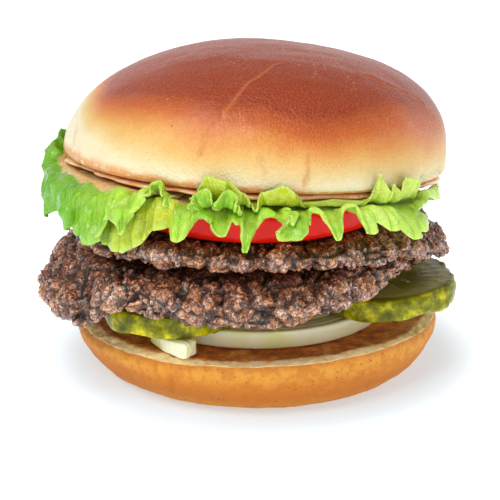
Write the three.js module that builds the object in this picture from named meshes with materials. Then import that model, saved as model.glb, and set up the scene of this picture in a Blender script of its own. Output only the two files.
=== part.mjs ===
// A double hamburger: toasted heel, onion, pickle slices, two beef patties, tomato, leaf lettuce, sauce, crown.
// Millimetres, +Z up. The heel's flat base is centred on the origin, and -Y is the front.
import * as THREE from "three";

// Driving dimensions
const bunRadius = 52.6;
const heelHeight = 15.2;
const crownHeight = 32.8;
const crownRimHeight = 56.6; // of the crown's cut face above the base, on the axis
const crownTiltBack = THREE.MathUtils.degToRad(3.2); // the front edge rides on the tomato
const crownTiltRight = THREE.MathUtils.degToRad(2.8);
const stackOffset = new THREE.Vector2(-0.6, 0.6); // everything on the heel sits a little off its middle
const gap = 0.3; // between pieces that rest on each other
const onionRadius = 37;
const onionThickness = 4.6;
const pickleThickness = 5.8;
const lowerPattyBase = 27.3;
const upperPattyBase = 39.8;
const tomatoRadius = 34.4;
const tomatoThickness = 7;
const tomatoCentre = new THREE.Vector3(0, -15, 46.6);
const leafThickness = 0.6;
const leafCurl = 1.3; // how much further out than its tip a fold's shoulders stand
const sauceThickness = 1.2;

const { lerp, smoothstep, degToRad } = THREE.MathUtils;
const turn = 2 * Math.PI;

// A repeatable random number from 0 to 1 for each whole number.
function random(n) {
  const value = Math.sin(n * 127.1 + 311.7) * 43758.5453;
  return value - Math.floor(value);
}

// Smooth lumps from -1 to 1 that never repeat, about size mm across.
function lumps(p, size) {
  const x = (p.x * turn) / size;
  const y = (p.y * turn) / size;
  const z = (p.z * turn) / size;
  const sum =
    Math.sin(0.61 * x + 0.43 * y + 0.9) +
    Math.sin(0.57 * y - 0.49 * z + 1.9) +
    Math.sin(0.63 * z + 0.38 * x + 4.2) +
    Math.sin(0.71 * x - 0.66 * y + 0.31 * z);
  return sum / 4;
}

// A smooth closed curve of values at equal steps round the circle, read at an angle.
function around(values, angle) {
  const place = ((angle / turn) % 1 + 1) % 1 * values.length;
  const i = Math.floor(place);
  const t = place - i;
  const at = (k) => values[(i + k + values.length) % values.length];
  const [a, b, c, d] = [at(-1), at(0), at(1), at(2)];
  return b + 0.5 * t * (c - a + t * (2 * a - 5 * b + 4 * c - d + t * (3 * (b - c) + d - a)));
}

function geometryOf(points, index) {
  const geometry = new THREE.BufferGeometry().setFromPoints(points);
  geometry.setIndex(index);
  geometry.computeVertexNormals();
  return geometry;
}

// A closed body of rings. The first and last levels are its bottom and top poles.
function roundBody(segments, levels, pointAt) {
  const points = [pointAt(0, levels[0])];
  for (const level of levels.slice(1, -1)) {
    for (let i = 0; i < segments; i++) points.push(pointAt((i / segments) * turn, level));
  }
  points.push(pointAt(0, levels.at(-1)));
  const rings = levels.length - 2;
  const top = points.length - 1;
  const at = (ring, i) => 1 + ring * segments + (i % segments);
  const index = [];
  for (let i = 0; i < segments; i++) {
    index.push(0, at(0, i + 1), at(0, i));
    for (let k = 0; k < rings - 1; k++) {
      index.push(at(k, i), at(k, i + 1), at(k + 1, i), at(k + 1, i), at(k, i + 1), at(k + 1, i + 1));
    }
    index.push(top, at(rings - 1, i), at(rings - 1, i + 1));
  }
  return geometryOf(points, index);
}

const evenLevels = (count) => Array.from({ length: count + 1 }, (_, k) => k / count);
const polar = (radius, angle, z) => new THREE.Vector3(radius * Math.cos(angle), radius * Math.sin(angle), z);

// --- Bun ---

// Heel: a flat base, a bulging crust, a pale bevel at the cut and the flat toasted face.
const heelOutline = new THREE.SplineCurve([
  new THREE.Vector2(40.4, 0),
  new THREE.Vector2(44.6, 1.2),
  new THREE.Vector2(48.1, 4.6),
  new THREE.Vector2(50.3, 8.2),
  new THREE.Vector2(51.2, 11.2),
  new THREE.Vector2(50.6, 13.5),
]);
// The heel's rim rises a little at its front right, where nothing presses on it.
const rimLift = (angle) => 2 * (0.5 + 0.5 * Math.cos(angle + degToRad(65))) ** 4;

function heelGeometry() {
  const crustRings = 6;
  const bevelEdge = 48;
  const faceEdge = 45.5;
  const levels = evenLevels(crustRings + 5);
  return roundBody(48, levels, (angle, level) => {
    const k = Math.round(level * (crustRings + 5));
    if (k === 0) return new THREE.Vector3(0, 0, 0);
    if (k === crustRings + 5) return new THREE.Vector3(0, 0, heelHeight);
    const onCrust = (k - 1) / crustRings;
    const lift = rimLift(angle);
    if (k === crustRings + 2) return polar(bevelEdge, angle, heelHeight + 0.8 * Math.max(0, lift - 1));
    if (k > crustRings + 2) return polar(k === crustRings + 3 ? faceEdge : faceEdge / 2, angle, heelHeight);
    const { x: radius, y: z } = heelOutline.getPoint(onCrust);
    const crustShare = onCrust > 0 && onCrust < 1 ? Math.sin(Math.PI * onCrust) : 0;
    const swell = 0.7 * crustShare * lumps(polar(radius, angle, 0), 60);
    return polar(radius + swell, angle, z + lift * onCrust ** 2);
  });
}

// The crown's cut face is dished, so that it closes round the filling.
const crownDish = 5;
const crownDishRadius = bunRadius - 3;
const crownUnderside = (radius) => crownDish * Math.max(0, 1 - (radius / crownDishRadius) ** 2);

// Crown: dished cut face, rolled lower edge and a dome that is fuller on its right side.
function crownGeometry() {
  const undersideRings = 3;
  const edgeRings = 3;
  const domeRings = 10;
  const edgeHeight = 2;
  const count = undersideRings + edgeRings + domeRings;
  return roundBody(50, evenLevels(count), (angle, level) => {
    const k = Math.round(level * count);
    const wobble = 1 + 0.012 * lumps(polar(bunRadius, angle, 0), 70);
    if (k <= undersideRings) {
      const radius = (crownDishRadius * k) / undersideRings;
      return polar(radius, angle, crownUnderside(radius));
    }
    if (k <= undersideRings + edgeRings) {
      const bend = ((k - undersideRings) / edgeRings) * (Math.PI / 2);
      const radius = crownDishRadius + (bunRadius * wobble - crownDishRadius) * Math.sin(bend);
      return polar(radius, angle, edgeHeight * (1 - Math.cos(bend)));
    }
    const rise = ((k - undersideRings - edgeRings) / domeRings) * (Math.PI / 2);
    const fullness = 0.5 + 0.5 * Math.cos(angle);
    const radius = bunRadius * wobble * Math.max(0, Math.cos(rise)) ** (2 / lerp(2.1, 2.12, fullness));
    const z = edgeHeight + (crownHeight - edgeHeight) * Math.sin(rise) ** (2 / lerp(1.78, 2.95, fullness));
    return k === count ? new THREE.Vector3(0, 0, crownHeight) : polar(radius, angle, z);
  });
}

// Sauce: a thin layer that follows the crown's cut face and creeps out at its edge.
function sauceGeometry() {
  const rings = 3;
  const count = 2 * rings + 1;
  return roundBody(50, evenLevels(count), (angle, level) => {
    const k = Math.round(level * count);
    const share = Math.min(k, count - k) / rings;
    const edge = 49.7 + 0.9 * Math.sin(7 * angle + 0.6) * Math.sin(3 * angle) + 0.4 * Math.sin(17 * angle);
    const radius = edge * Math.min(share, 1);
    const top = crownUnderside(radius) - gap;
    const inset = share === 1 ? 0.25 * sauceThickness : 0;
    return polar(radius, angle, k <= rings ? top - sauceThickness + inset : top - inset);
  });
}

// --- Fillings ---

// A slice with a rounded skin, its outline given as a radius for each angle.
function sliceGeometry(segments, thickness, outline, skinBulge) {
  const faceShares = [0, 0.8];
  const skinRings = 3;
  const count = 2 * faceShares.length + skinRings;
  return roundBody(segments, evenLevels(count), (angle, level) => {
    const k = Math.round(level * count);
    const mirrored = Math.min(k, count - k);
    const onFace = mirrored < faceShares.length;
    const height = onFace ? (k < count / 2 ? -1 : 1) : ((k - faceShares.length) / skinRings) * 2 - 1;
    const skin = 1 - skinBulge * Math.abs(height) ** 3;
    const radius = outline(angle) * (onFace ? faceShares[mirrored] * (1 - skinBulge) : skin);
    const z = onFace ? height : 0.97 * Math.sqrt(Math.abs(height)) * Math.sign(height);
    return polar(radius, angle, (thickness / 2) * (1 + z));
  });
}

const tomatoGeometry = () =>
  sliceGeometry(36, tomatoThickness, (a) => tomatoRadius * (1 + 0.008 * Math.cos(5 * a + 1)), 0.035);
const onionGeometry = () =>
  sliceGeometry(36, onionThickness, (a) => onionRadius * (1 + 0.012 * Math.cos(2 * a + 2.4)), 0.02);
const pickleGeometry = (radius, phase) =>
  sliceGeometry(
    32,
    pickleThickness,
    (a) => radius * (1 + 0.035 * Math.cos(5 * a + phase) + 0.03 * Math.cos(3 * a + 2 * phase)),
    0.07,
  );

// A short thick piece of an onion ring with square cut ends.
function onionPieceGeometry() {
  const outer = 30;
  const wall = 5;
  const spread = degToRad(32);
  const ring = new THREE.Shape();
  ring.absarc(0, 0, outer, -spread / 2, spread / 2, false);
  ring.absarc(0, 0, outer - wall, spread / 2, -spread / 2, true);
  const bevel = 0.5;
  const height = 5;
  const [leftTaper, rightTaper] = [0.6, 0.92];
  const geometry = new THREE.ExtrudeGeometry(ring, {
    depth: height - 2 * bevel,
    curveSegments: 6,
    bevelThickness: bevel,
    bevelSize: bevel,
    bevelOffset: -bevel,
    bevelSegments: 2,
  });
  geometry.translate(-outer, 0, bevel);
  const points = geometry.getAttribute("position");
  const halfLength = outer * Math.sin(spread / 2);
  for (let i = 0; i < points.count; i++) {
    const share = 0.5 + points.getY(i) / (2 * halfLength);
    points.setZ(i, points.getZ(i) * lerp(leftTaper, rightTaper, share));
  }
  return geometry;
}

// Beef patty: a craggy disc. Its outline and edge thickness change round the circle from +X, and it sags
// at its rim in places, each given as [middle in degrees, spread in degrees, depth, radius where it starts].
const lowerPatty = {
  base: lowerPattyBase,
  slope: 0.012,
  thickness: 11.8,
  outline: [47.5, 50, 55, 55, 54, 49.5, 58.4, 61.2, 57.6, 57.3, 52.8, 48],
  sags: [
    [184, 31, 7.2, 50], [219, 11, 5.6, 50.5], [234, 6, -1.6, 48], [272, 24, 2.6, 50], [90, 60, 1.2, 50],
    [322, 30, -4.2, 34],
  ],
  edgeThickness: [5, 8, 10, 10, 10, 10, 10.5, 10.5, 10, 10, 8.6, 4.6],
};
const upperPatty = {
  base: upperPattyBase,
  slope: 0,
  thickness: 6.3,
  outline: [52.4, 47.5, 50, 54, 53, 51, 50, 52.4, 54, 54.2, 53.6, 53.6],
  sags: [[352, 33, 7.8, 43], [195, 34, 3, 41], [90, 70, 1, 41]],
  edgeThickness: [4.4, 5, 6, 6, 6, 6.5, 8, 8, 6.4, 6.2, 6, 6],
};
function sagAt(sags, angle, radius, edge) {
  const degrees = THREE.MathUtils.radToDeg(angle);
  let sum = 0;
  for (const [middle, spread, depth, start] of sags) {
    const away = THREE.MathUtils.euclideanModulo(degrees - middle + 180, 360) - 180;
    sum += depth * Math.exp(-((away / spread) ** 2)) * smoothstep(radius, start, edge);
  }
  return sum;
}
function pattyGeometry(patty) {
  const squareness = 5;
  const count = 14;
  return roundBody(62, evenLevels(count), (angle, level) => {
    const rise = (level - 0.5) * Math.PI;
    const edge = around(patty.outline, angle);
    const share = Math.max(0, Math.cos(rise)) ** (2 / squareness);
    const height = Math.sign(rise) * Math.abs(Math.sin(rise)) ** (2 / squareness);
    const craggy = smoothstep(share, 0.72, 0.98);
    const flat = polar(edge * share, angle, height * patty.thickness);
    const crag = lumps(flat, 11) + 0.6 * lumps(flat, 6.2);
    const radius = edge * share + 1.1 * craggy * crag;
    const sagged = sagAt(patty.sags, angle, radius, edge);
    const thickness = lerp(patty.thickness, around(patty.edgeThickness, angle), smoothstep(radius, 36, edge));
    const base = patty.base + patty.slope * radius * Math.cos(angle) - sagged;
    const rough = craggy * (height > 0 ? 0.45 : 0.3) * lumps(flat, 7);
    const point = polar(radius, angle, base + thickness * (0.5 + 0.5 * height) + rough);
    return level === 0 || level === 1 ? new THREE.Vector3(0, 0, point.z) : point;
  });
}

// --- Lettuce ---

const crownPlane = (x, y) => crownRimHeight - Math.tan(crownTiltRight) * x - Math.tan(crownTiltBack) * y;

// A leaf lies under the crown out to its start radius, then hangs over and folds. Its edge runs through rows of
// [degrees from the front, positive to the right; drop below the crown's rim; distance out past the start
// radius; width in degrees of the fold there].
function randomEdge(from, to, step, seed) {
  const rows = [[from, 5, 2, 0]];
  for (let k = 1, n = seed; k < Math.floor((to - from) / step); k++, n += 3) {
    const degrees = from + step * (k + 0.5 * random(n) - 0.25);
    const grown = Math.min(1, (degrees - from) / 24);
    const hangs = k % 2 === 1;
    const drop = hangs ? lerp(8, 12, random(n + 1)) : lerp(2.5, 5, random(n + 1));
    const out = hangs ? lerp(6.5, 9, random(n + 2)) : lerp(4, 5.5, random(n + 2));
    rows.push([degrees, drop, lerp(1.5, out, grown), hangs ? 0.3 : 0]);
  }
  return [...rows, [to, 5, 2, 0]];
}
const leaves = {
  lettuce_front: {
    below: 3.9, inner: 9, start: 50, lift: 2.4, crest: 1.2,
    dips: [[-44, 12, 3.1], [-9.6, 8.2, 4.8], [5, 6, 2], [19.5, 9, 3.4], [44, 9, 2.6]],
    edge: [
      [-50, 9, 2, 2], [-44.5, 13, 6, 2], [-39.5, 15.6, 7.2, 2.5], [-34.2, 16, 8.4, 3],
      [-30.5, 14.4, 8, 1.5], [-27.6, 12.2, 7.6, 1], [-25.6, 9.6, 6.8, 1], [-21.8, 8.6, 6, 1],
      [-18.2, 11, 9.2, 2.2], [-13.4, 5.6, 4.2, 4], [-7.6, 8.2, 10, 1.8], [-5.6, 5.2, 7.5, 1],
      [-4, 6, 6.5, 1.2], [-2.4, 11.8, 10.5, 1.5], [3.6, 4.4, 5, 5], [7.8, 5.4, 8.8, 1.6],
      [9.3, 3, 6.5, 1], [4.8, 6.2, 11.5, 1], [7.4, 8.4, 11, 5], [12.2, 5.5, 8, 0.5], [14.8, 2.9, 4.8, 3.6],
      [19, 9.2, 9.2, 2.2], [24.2, 2, 4.6, 4.5], [28, 8.2, 8.5, 2.4], [30.8, 5.8, 6.5, 1.5],
      [34.4, 8, 8, 2.2], [36.8, 7.2, 7.5, 1], [40.6, 10.6, 9, 3], [45, 9.6, 8.3, 2], [48.8, 8.2, 6.6, 1.6],
      [43.6, 5, 7.2, 1.5], [47.6, 3.4, 6, 1], [51.5, 1.8, 5.8, 1], [58, 4, 3, 2], [66, 5, 1.5, 1],
    ],
  },
  lettuce_left: {
    below: 2.75, inner: 14, start: 50, lift: 1.5, crest: 0.4,
    edge: [
      [-146, 5, 3, 2], [-137, 9, 6, 3], [-129, 3.5, 5, 3], [-120, 9.5, 7, 3], [-111, 2.5, 6, 3],
      [-104, -4, 4, 3], [-96, -5, 4.5, 3], [-88, 1, 7.6, 2], [-80, 11, 8, 2], [-72.5, 15.2, 8.2, 1.6],
      [-66, 12, 7.2, 1.6], [-61.5, 11, 7.2, 1.4], [-57, 12.2, 8, 1.2], [-54, 14.4, 8.8, 1.2],
      [-51.8, 12, 7.6, 0.8], [-47.5, 14.4, 9, 1.6], [-42.5, 15.4, 9.4, 1.4], [-39.4, 13.6, 9.2, 1],
      [-37.2, 8, 9.2, 1], [-35.6, 7.4, 9.6, 0.8], [-32, 10.8, 10.6, 1.6], [-29.4, 5.6, 9, 1],
      [-27.2, 1.6, 7.4, 1], [-25.8, -1.6, 5.2, 2.4], [-23.4, 1.5, 5.4, 0.6], [-22.4, 3.6, 5.6, 0.6],
    ],
  },
  lettuce_back: {
    below: 3.9, inner: 9, start: 50, lift: 1.5, crest: 0.5,
    edge: randomEdge(96, 211, 7.5, 41),
  },
  lettuce_curl: {
    below: 2.9, inner: 42, start: 50, lift: -0.9, crest: 0, isEven: true,
    edge: [
      [-15.6, 2.2, 8.8, 0.4], [-14.8, 1, 8.6, 0.4], [-14.6, -0.6, 6.4, 0.4], [-12.2, -1.7, 5, 1.6],
      [-9.7, 0.8, 8.4, 1], [-6.8, -1.9, 5, 1.8], [-4.3, -0.8, 6.4, 0.4], [-4.3, 0.8, 8.4, 0.4],
      [-3.5, 2.2, 9, 0.4],
    ],
  },
  lettuce_top: {
    below: 2.1, inner: 36, start: 50.4, lift: -0.6, crest: 0,
    edge: [
      [-17, 1.6, 2.6, 1], [-15.1, 0.6, 3, 0.5], [-12.5, -4.6, 3.9, 1.2], [-7.1, -3.9, 3.9, 1.5],
      [-3.2, -1, 3.4, 1], [-1.2, 1.4, 3.4, 0.5], [-0.2, 3, 4.4, 0.4], [1.5, -1.5, 3.9, 1],
      [6.9, -3.1, 3.9, 2], [10.2, -1, 3.2, 1], [12, 1.6, 0.8, 0.5], [22, 1.2, 0.2, 4], [30.8, 1.6, 0.8, 1],
      [33.4, -5.6, 4.6, 0.4], [36, -1, 4, 1], [38.2, -2.6, 4.2, 1], [40, -0.5, 3.8, 0.6], [42.4, -4, 4.4, 1],
      [46.1, -3.4, 4.2, 1.4], [48, -2.6, 3.6, 0.6], [49.6, 0.6, 2, 0.6],
    ],
  },
};

// Three knots at each fold: its end, and a shoulder that curls a little further out at each side of it.
function edgeKnots(rows) {
  return rows.flatMap((row, k) => {
    const before = rows[Math.max(k - 1, 0)];
    const after = rows[Math.min(k + 1, rows.length - 1)];
    const way = after[0] > before[0] ? 1 : -1;
    return [[-1, before], [0, row], [1, after]].map(([side, other]) => {
      const curl = side !== 0 && row[1] > other[1] ? leafCurl : 0;
      const [degrees, drop, out, width] = row;
      return [degrees + (way * side * width) / 2, lerp(drop, other[1], 0.16), lerp(out, other[2], 0.2) + curl];
    });
  });
}

// The edge's course without its folds, which never turns back on itself.
function calmed(knots, passes, isEven) {
  const inOrder = knots.map((knot) => knot[0]).sort((a, b) => a - b);
  const evenly = (i) => lerp(inOrder[0], inOrder.at(-1), i / (knots.length - 1));
  let calm = knots.map(([, drop, out], i) => [isEven ? evenly(i) : inOrder[i], drop, out]);
  for (let k = 0; k < passes; k++) {
    calm = calm.map((knot, i) => {
      if (i === 0 || i === calm.length - 1) return knot;
      return knot.map((value, j) => (calm[i - 1][j] + 2 * value + calm[i + 1][j]) / 4);
    });
  }
  return calm;
}

// A smooth open curve through the knots, t from 0 to 1.
function splineAt(knots, t) {
  const place = Math.min(Math.max(t, 0), 1) * (knots.length - 1);
  const i = Math.min(Math.floor(place), knots.length - 2);
  const w = place - i;
  const at = (k) => knots[Math.min(Math.max(i + k, 0), knots.length - 1)];
  return at(0).map((b, j) => {
    const [a, c, d] = [at(-1)[j], at(1)[j], at(2)[j]];
    return b + 0.5 * w * (c - a + w * (2 * a - 5 * b + 4 * c - d + w * (3 * (b - c) + d - a)));
  });
}

for (const leaf of Object.values(leaves)) {
  leaf.knots = edgeKnots(leaf.edge);
  leaf.calm = calmed(leaf.knots, 22, leaf.isEven);
  leaf.segments = 4 * Math.ceil((leaf.knots.length - 1) / 4);
}

// The leaf's middle surface: s runs along the edge, and v from 0 at the middle to 1 at the crown's rim
// and 2 at the edge.
function leafPoint(leaf, s, v) {
  const edge = splineAt(leaf.knots, s);
  const mean = splineAt(leaf.calm, s);
  const out = Math.max(v - 1, 0);
  const hang = edge[1] - mean[1];
  const degrees = lerp(mean[0], edge[0], out ** 1.4);
  let lift = leaf.lift + leaf.crest * (1 - smoothstep(hang, -3, 0));
  for (const [middle, spread, depth] of leaf.dips ?? []) {
    lift -= depth * Math.exp(-(((degrees - middle) / spread) ** 2));
  }
  const angle = degToRad(degrees);
  const folded = (mean[1] - leaf.below) * out ** 1.8 + hang * out ** 1.4;
  const drop = leaf.below + folded - lift * Math.sin(Math.PI * out);
  const outward = mean[2] * (1 - (1 - out) ** 1.8) + (edge[2] - mean[2]) * out ** 1.5;
  const radius = lerp(leaf.inner, leaf.start, Math.min(v, 1)) + outward;
  const x = radius * Math.sin(angle);
  const y = -radius * Math.cos(angle);
  const flat = Math.min(radius, leaf.start);
  const bed = crownPlane(flat * Math.sin(angle), -flat * Math.cos(angle)) + crownUnderside(flat);
  return new THREE.Vector3(x, y, bed - drop);
}

function leafNormal(leaf, s, v) {
  const step = 1e-3;
  const [s0, s1] = [Math.max(s - step, 0), Math.min(s + step, 1)];
  const [v0, v1] = [Math.max(v - step, 0), Math.min(v + step, 2)];
  const alongEdge = leafPoint(leaf, s1, v).sub(leafPoint(leaf, s0, v));
  const outward = leafPoint(leaf, s, v1).sub(leafPoint(leaf, s, v0));
  return outward.cross(alongEdge).normalize();
}

// Two like-triangulated faces with a wall round them. The rings double their points on the way out.
function leafGeometry(leaf) {
  const n = leaf.segments;
  const rings = [[0, n / 4], [0.8, n / 4], [1.04, n / 2], [1.34, n], [1.68, n], [2, n]];
  const points = [];
  const starts = [];
  for (const side of [1, -1]) {
    for (const [v, count] of rings) {
      starts.push(points.length);
      for (let i = 0; i <= count; i++) {
        const offset = leafNormal(leaf, i / count, v).multiplyScalar((side * leafThickness) / 2);
        points.push(leafPoint(leaf, i / count, v).add(offset));
      }
    }
  }
  const index = [];
  const face = (side, a, b, c) => (side === 0 ? index.push(a, b, c) : index.push(a, c, b));
  for (const side of [0, 1]) {
    for (let k = 0; k < rings.length - 1; k++) {
      const [a, b] = [starts[side * rings.length + k], starts[side * rings.length + k + 1]];
      const doubled = rings[k + 1][1] > rings[k][1];
      for (let i = 0; i < rings[k][1]; i++) {
        if (doubled) {
          face(side, a + i, b + 2 * i, b + 2 * i + 1);
          face(side, a + i, b + 2 * i + 1, a + i + 1);
          face(side, a + i + 1, b + 2 * i + 1, b + 2 * i + 2);
        } else {
          face(side, a + i, b + i, a + i + 1);
          face(side, a + i + 1, b + i, b + i + 1);
        }
      }
    }
  }
  const rim = [];
  const last = rings.length - 1;
  for (let i = 0; i < rings[0][1]; i++) rim.push([starts[0] + i, starts[rings.length] + i]);
  for (let k = 0; k < last; k++) rim.push([starts[k] + rings[k][1], starts[rings.length + k] + rings[k][1]]);
  for (let i = rings[last][1]; i > 0; i--) rim.push([starts[last] + i, starts[rings.length + last] + i]);
  for (let k = last; k > 0; k--) rim.push([starts[k], starts[rings.length + k]]);
  rim.forEach(([top, bottom], i) => {
    const [nextTop, nextBottom] = rim[(i + 1) % rim.length];
    index.push(top, nextTop, bottom, bottom, nextTop, nextBottom);
  });
  return geometryOf(points, index);
}

// --- Assembly ---

const burger = new THREE.Group();
const stack = new THREE.Group();
stack.position.set(stackOffset.x, stackOffset.y, 0);
burger.add(stack);

function addPiece(name, geometry, colour, roughness, parent = stack) {
  const material = new THREE.MeshStandardMaterial({ color: colour, roughness, metalness: 0 });
  const mesh = new THREE.Mesh(geometry, material);
  mesh.name = name;
  parent.add(mesh);
  return mesh;
}

addPiece("bun_heel", heelGeometry(), 0xd08a3e, 0.75, burger);

const onion = addPiece("onion_slice", onionGeometry(), 0xe6e2bd, 0.35);
onion.position.set(0, -3, heelHeight + gap);
const onionPiece = addPiece("onion_piece", onionPieceGeometry(), 0xe2e3a6, 0.35);
onionPiece.position.set(-23.6, -42.2, heelHeight + gap);
onionPiece.rotation.z = degToRad(-143);

const pickleBed = heelHeight + onionThickness + 2 * gap;
const pickleLeft = addPiece("pickle_left", pickleGeometry(17.6, 0.6), 0x6d7a1c, 0.3);
pickleLeft.position.set(-21.6, -28.2, pickleBed + 0.1);
pickleLeft.rotation.x = degToRad(1.4);
const pickleBack = addPiece("pickle_back", pickleGeometry(17, 4.1), 0x6d7a1c, 0.3);
pickleBack.position.set(6, 26, pickleBed + 0.2);
const pickleRight = addPiece("pickle_right", pickleGeometry(20.8, 2.2), 0x76841f, 0.3);
pickleRight.position.set(34.3, -15.2, pickleBed + 1.1);
pickleRight.rotation.y = degToRad(-2.7);

addPiece("patty_lower", pattyGeometry(lowerPatty), 0x5b3a2a, 0.6);
addPiece("patty_upper", pattyGeometry(upperPatty), 0x60402f, 0.6);

const tomato = addPiece("tomato_slice", tomatoGeometry(), 0xc81f14, 0.2);
tomato.position.copy(tomatoCentre);

const leafColours = {
  lettuce_front: 0x8cc21f, lettuce_left: 0x86bd3a, lettuce_back: 0x86bb2c, lettuce_curl: 0x83c232,
  lettuce_top: 0xb4bf14,
};
for (const [name, leaf] of Object.entries(leaves)) {
  addPiece(name, leafGeometry(leaf), leafColours[name], 0.4);
}

const crownGroup = new THREE.Group();
crownGroup.position.z = crownRimHeight;
crownGroup.rotation.set(-crownTiltBack, crownTiltRight, 0);
stack.add(crownGroup);
addPiece("sauce", sauceGeometry(), 0xe89a5c, 0.35, crownGroup);
addPiece("bun_crown", crownGeometry(), 0xb5652b, 0.45, crownGroup);

export default burger;
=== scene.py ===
import itertools
import math

import bpy
import numpy as np
from mathutils import Euler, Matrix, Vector


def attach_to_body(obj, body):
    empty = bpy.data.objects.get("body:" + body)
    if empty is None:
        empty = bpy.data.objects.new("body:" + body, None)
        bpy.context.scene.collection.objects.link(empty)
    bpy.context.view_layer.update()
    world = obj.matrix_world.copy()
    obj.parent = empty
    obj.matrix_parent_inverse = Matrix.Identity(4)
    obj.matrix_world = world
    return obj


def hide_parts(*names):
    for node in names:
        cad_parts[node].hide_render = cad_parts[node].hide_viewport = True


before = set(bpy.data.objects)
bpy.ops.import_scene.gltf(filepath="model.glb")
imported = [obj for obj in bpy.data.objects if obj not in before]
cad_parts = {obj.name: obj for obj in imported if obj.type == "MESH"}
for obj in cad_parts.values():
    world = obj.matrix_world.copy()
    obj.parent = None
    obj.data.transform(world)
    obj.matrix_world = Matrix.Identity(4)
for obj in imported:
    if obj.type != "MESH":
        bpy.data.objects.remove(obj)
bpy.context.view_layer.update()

# A double hamburger. Shapes are worked out in millimetres and made in metres; -Y is the front.
turn = 2 * math.pi
millimetre = 0.001
stackOffset = np.array([-0.6, 0.6, 0.0])  # everything on the heel sits a little off its middle
print("frame loaded")


# Numbers and noise

def lerp(a, b, t):
    return a + (b - a) * t


def smoothstep(x, low, high):
    t = np.clip((x - low) / (high - low), 0, 1)
    return t * t * (3 - 2 * t)


def bump(x, middle, spread):
    return np.exp(-(((x - middle) / spread) ** 2))


def fraction(n):
    value = math.sin(n * 127.1 + 311.7) * 43758.5453
    return value - math.floor(value)


def lumps(p, size):
    x, y, z = np.moveaxis(p, -1, 0) * (turn / size)
    total = np.sin(0.61 * x + 0.43 * y + 0.9) + np.sin(0.57 * y - 0.49 * z + 1.9)
    total += np.sin(0.63 * z + 0.38 * x + 4.2) + np.sin(0.71 * x - 0.66 * y + 0.31 * z)
    return total / 4


def randomAt(cells, seed):
    # a repeatable number from 0 to 1 for each whole-number cell
    n = cells[..., 0] * 73856093 ^ cells[..., 1] * 19349663 ^ cells[..., 2] * 83492791
    n = n ^ (seed + 7) * 50331653
    n = ((n & 0xFFFFFFFF) ^ ((n >> 15) & 0xFFFF)) * 1274126177 & 0xFFFFFFFF
    n = (n ^ (n >> 13)) * 1103515245 & 0xFFFFFFFF
    return (n ^ (n >> 16)) / 2**32


def noiseAt(points, size, seed=0):
    # smooth noise from -1 to 1 in lumps about size across
    place = points / size
    cell = np.floor(place).astype(np.int64)
    t = place - cell
    t = t * t * t * (t * (t * 6 - 15) + 10)
    total = 0
    for corner in itertools.product((0, 1), repeat=3):
        weight = np.prod(np.where(np.array(corner, bool), t, 1 - t), axis=-1)
        total = total + weight * randomAt(cell + np.array(corner), seed)
    return 2 * total - 1


def cellsAt(points, size, seed=0):
    # distances to the nearest and second nearest cell middles, and the nearest cell's own number
    place = points / size
    base = np.floor(place).astype(np.int64)
    first = np.full(place.shape[:-1], 9.0)
    second = first.copy()
    shade = np.zeros_like(first)
    for offset in itertools.product((-1, 0, 1), repeat=3):
        cell = base + np.array(offset)
        middle = cell + np.stack([randomAt(cell, seed + k) for k in (1, 2, 3)], -1)
        away = np.linalg.norm(place - middle, axis=-1)
        nearer = away < first
        second = np.where(nearer, first, np.minimum(second, away))
        shade = np.where(nearer, randomAt(cell, seed + 4), shade)
        first = np.where(nearer, away, first)
    return first, second, shade


def around(values, angle):
    # a smooth closed curve of values at equal steps round the circle
    values = np.array(values, float)
    place = (angle / turn) % 1 * len(values)
    i = np.floor(place).astype(int)
    t = place - i
    a, b, c, d = (values[(i + k) % len(values)] for k in (-1, 0, 1, 2))
    return b + 0.5 * t * (c - a + t * (2 * a - 5 * b + 4 * c - d + t * (3 * (b - c) + d - a)))


def polar(radius, angle, z):
    radius, angle, z = np.broadcast_arrays(radius, angle, z)
    return np.stack([radius * np.cos(angle), radius * np.sin(angle), z], -1)


def squareCircle(angle, squareness):
    # a circle of radius 1 that is drawn out towards a square
    across, up = np.cos(angle), np.sin(angle)
    power = 2 / squareness
    return np.sign(across) * np.abs(across) ** power, np.sign(up) * np.abs(up) ** power


# Meshes

def addValues(mesh, kind, slot, values):
    for key, value in (values or {}).items():
        data = mesh.attributes.new(key, kind, "POINT").data
        data.foreach_set(slot, np.ravel(value).astype(np.float32))


def makePiece(name, points, faces, material, values=None, vectors=None):
    mesh = bpy.data.meshes.new(name)
    mesh.from_pydata((points * millimetre).tolist(), [], faces)
    mesh.shade_smooth()
    mesh.materials.append(material)
    addValues(mesh, "FLOAT", "value", values)
    addValues(mesh, "FLOAT_VECTOR", "vector", vectors)
    return linked(bpy.data.objects.new(name, mesh))


def linked(item):
    bpy.context.scene.collection.objects.link(item)
    return item


def ringFaces(rings, segments):
    # faces of a closed body: a bottom pole, rings from low to high, a top pole
    i = np.arange(segments)
    j = (i + 1) % segments
    faces = np.stack([0 * i, 1 + j, 1 + i], -1).tolist()
    for k in range(rings - 1):
        a, b = 1 + k * segments, 1 + (k + 1) * segments
        faces += np.stack([a + i, a + j, b + j, b + i], -1).tolist()
    a = 1 + (rings - 1) * segments
    return faces + np.stack([0 * i + a + segments, a + i, a + j], -1).tolist()


def withPoles(rows):
    # what belongs to the points of a closed body, from its rings and a pole at each end
    return np.concatenate([rows[0].mean(0)[None], rows.reshape(-1, *rows.shape[2:]), rows[-1].mean(0)[None]])


def makeBody(name, rows, material, values=None, place=None):
    # a closed body from rings of points, with a value for each of them, moved by place
    points = withPoles(rows)
    values = {key: withPoles(value + 0 * rows[..., 0]) for key, value in (values or {}).items()}
    return makePiece(name, place(points) if place else points, ringFaces(*rows.shape[:2]), material, values)


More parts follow.
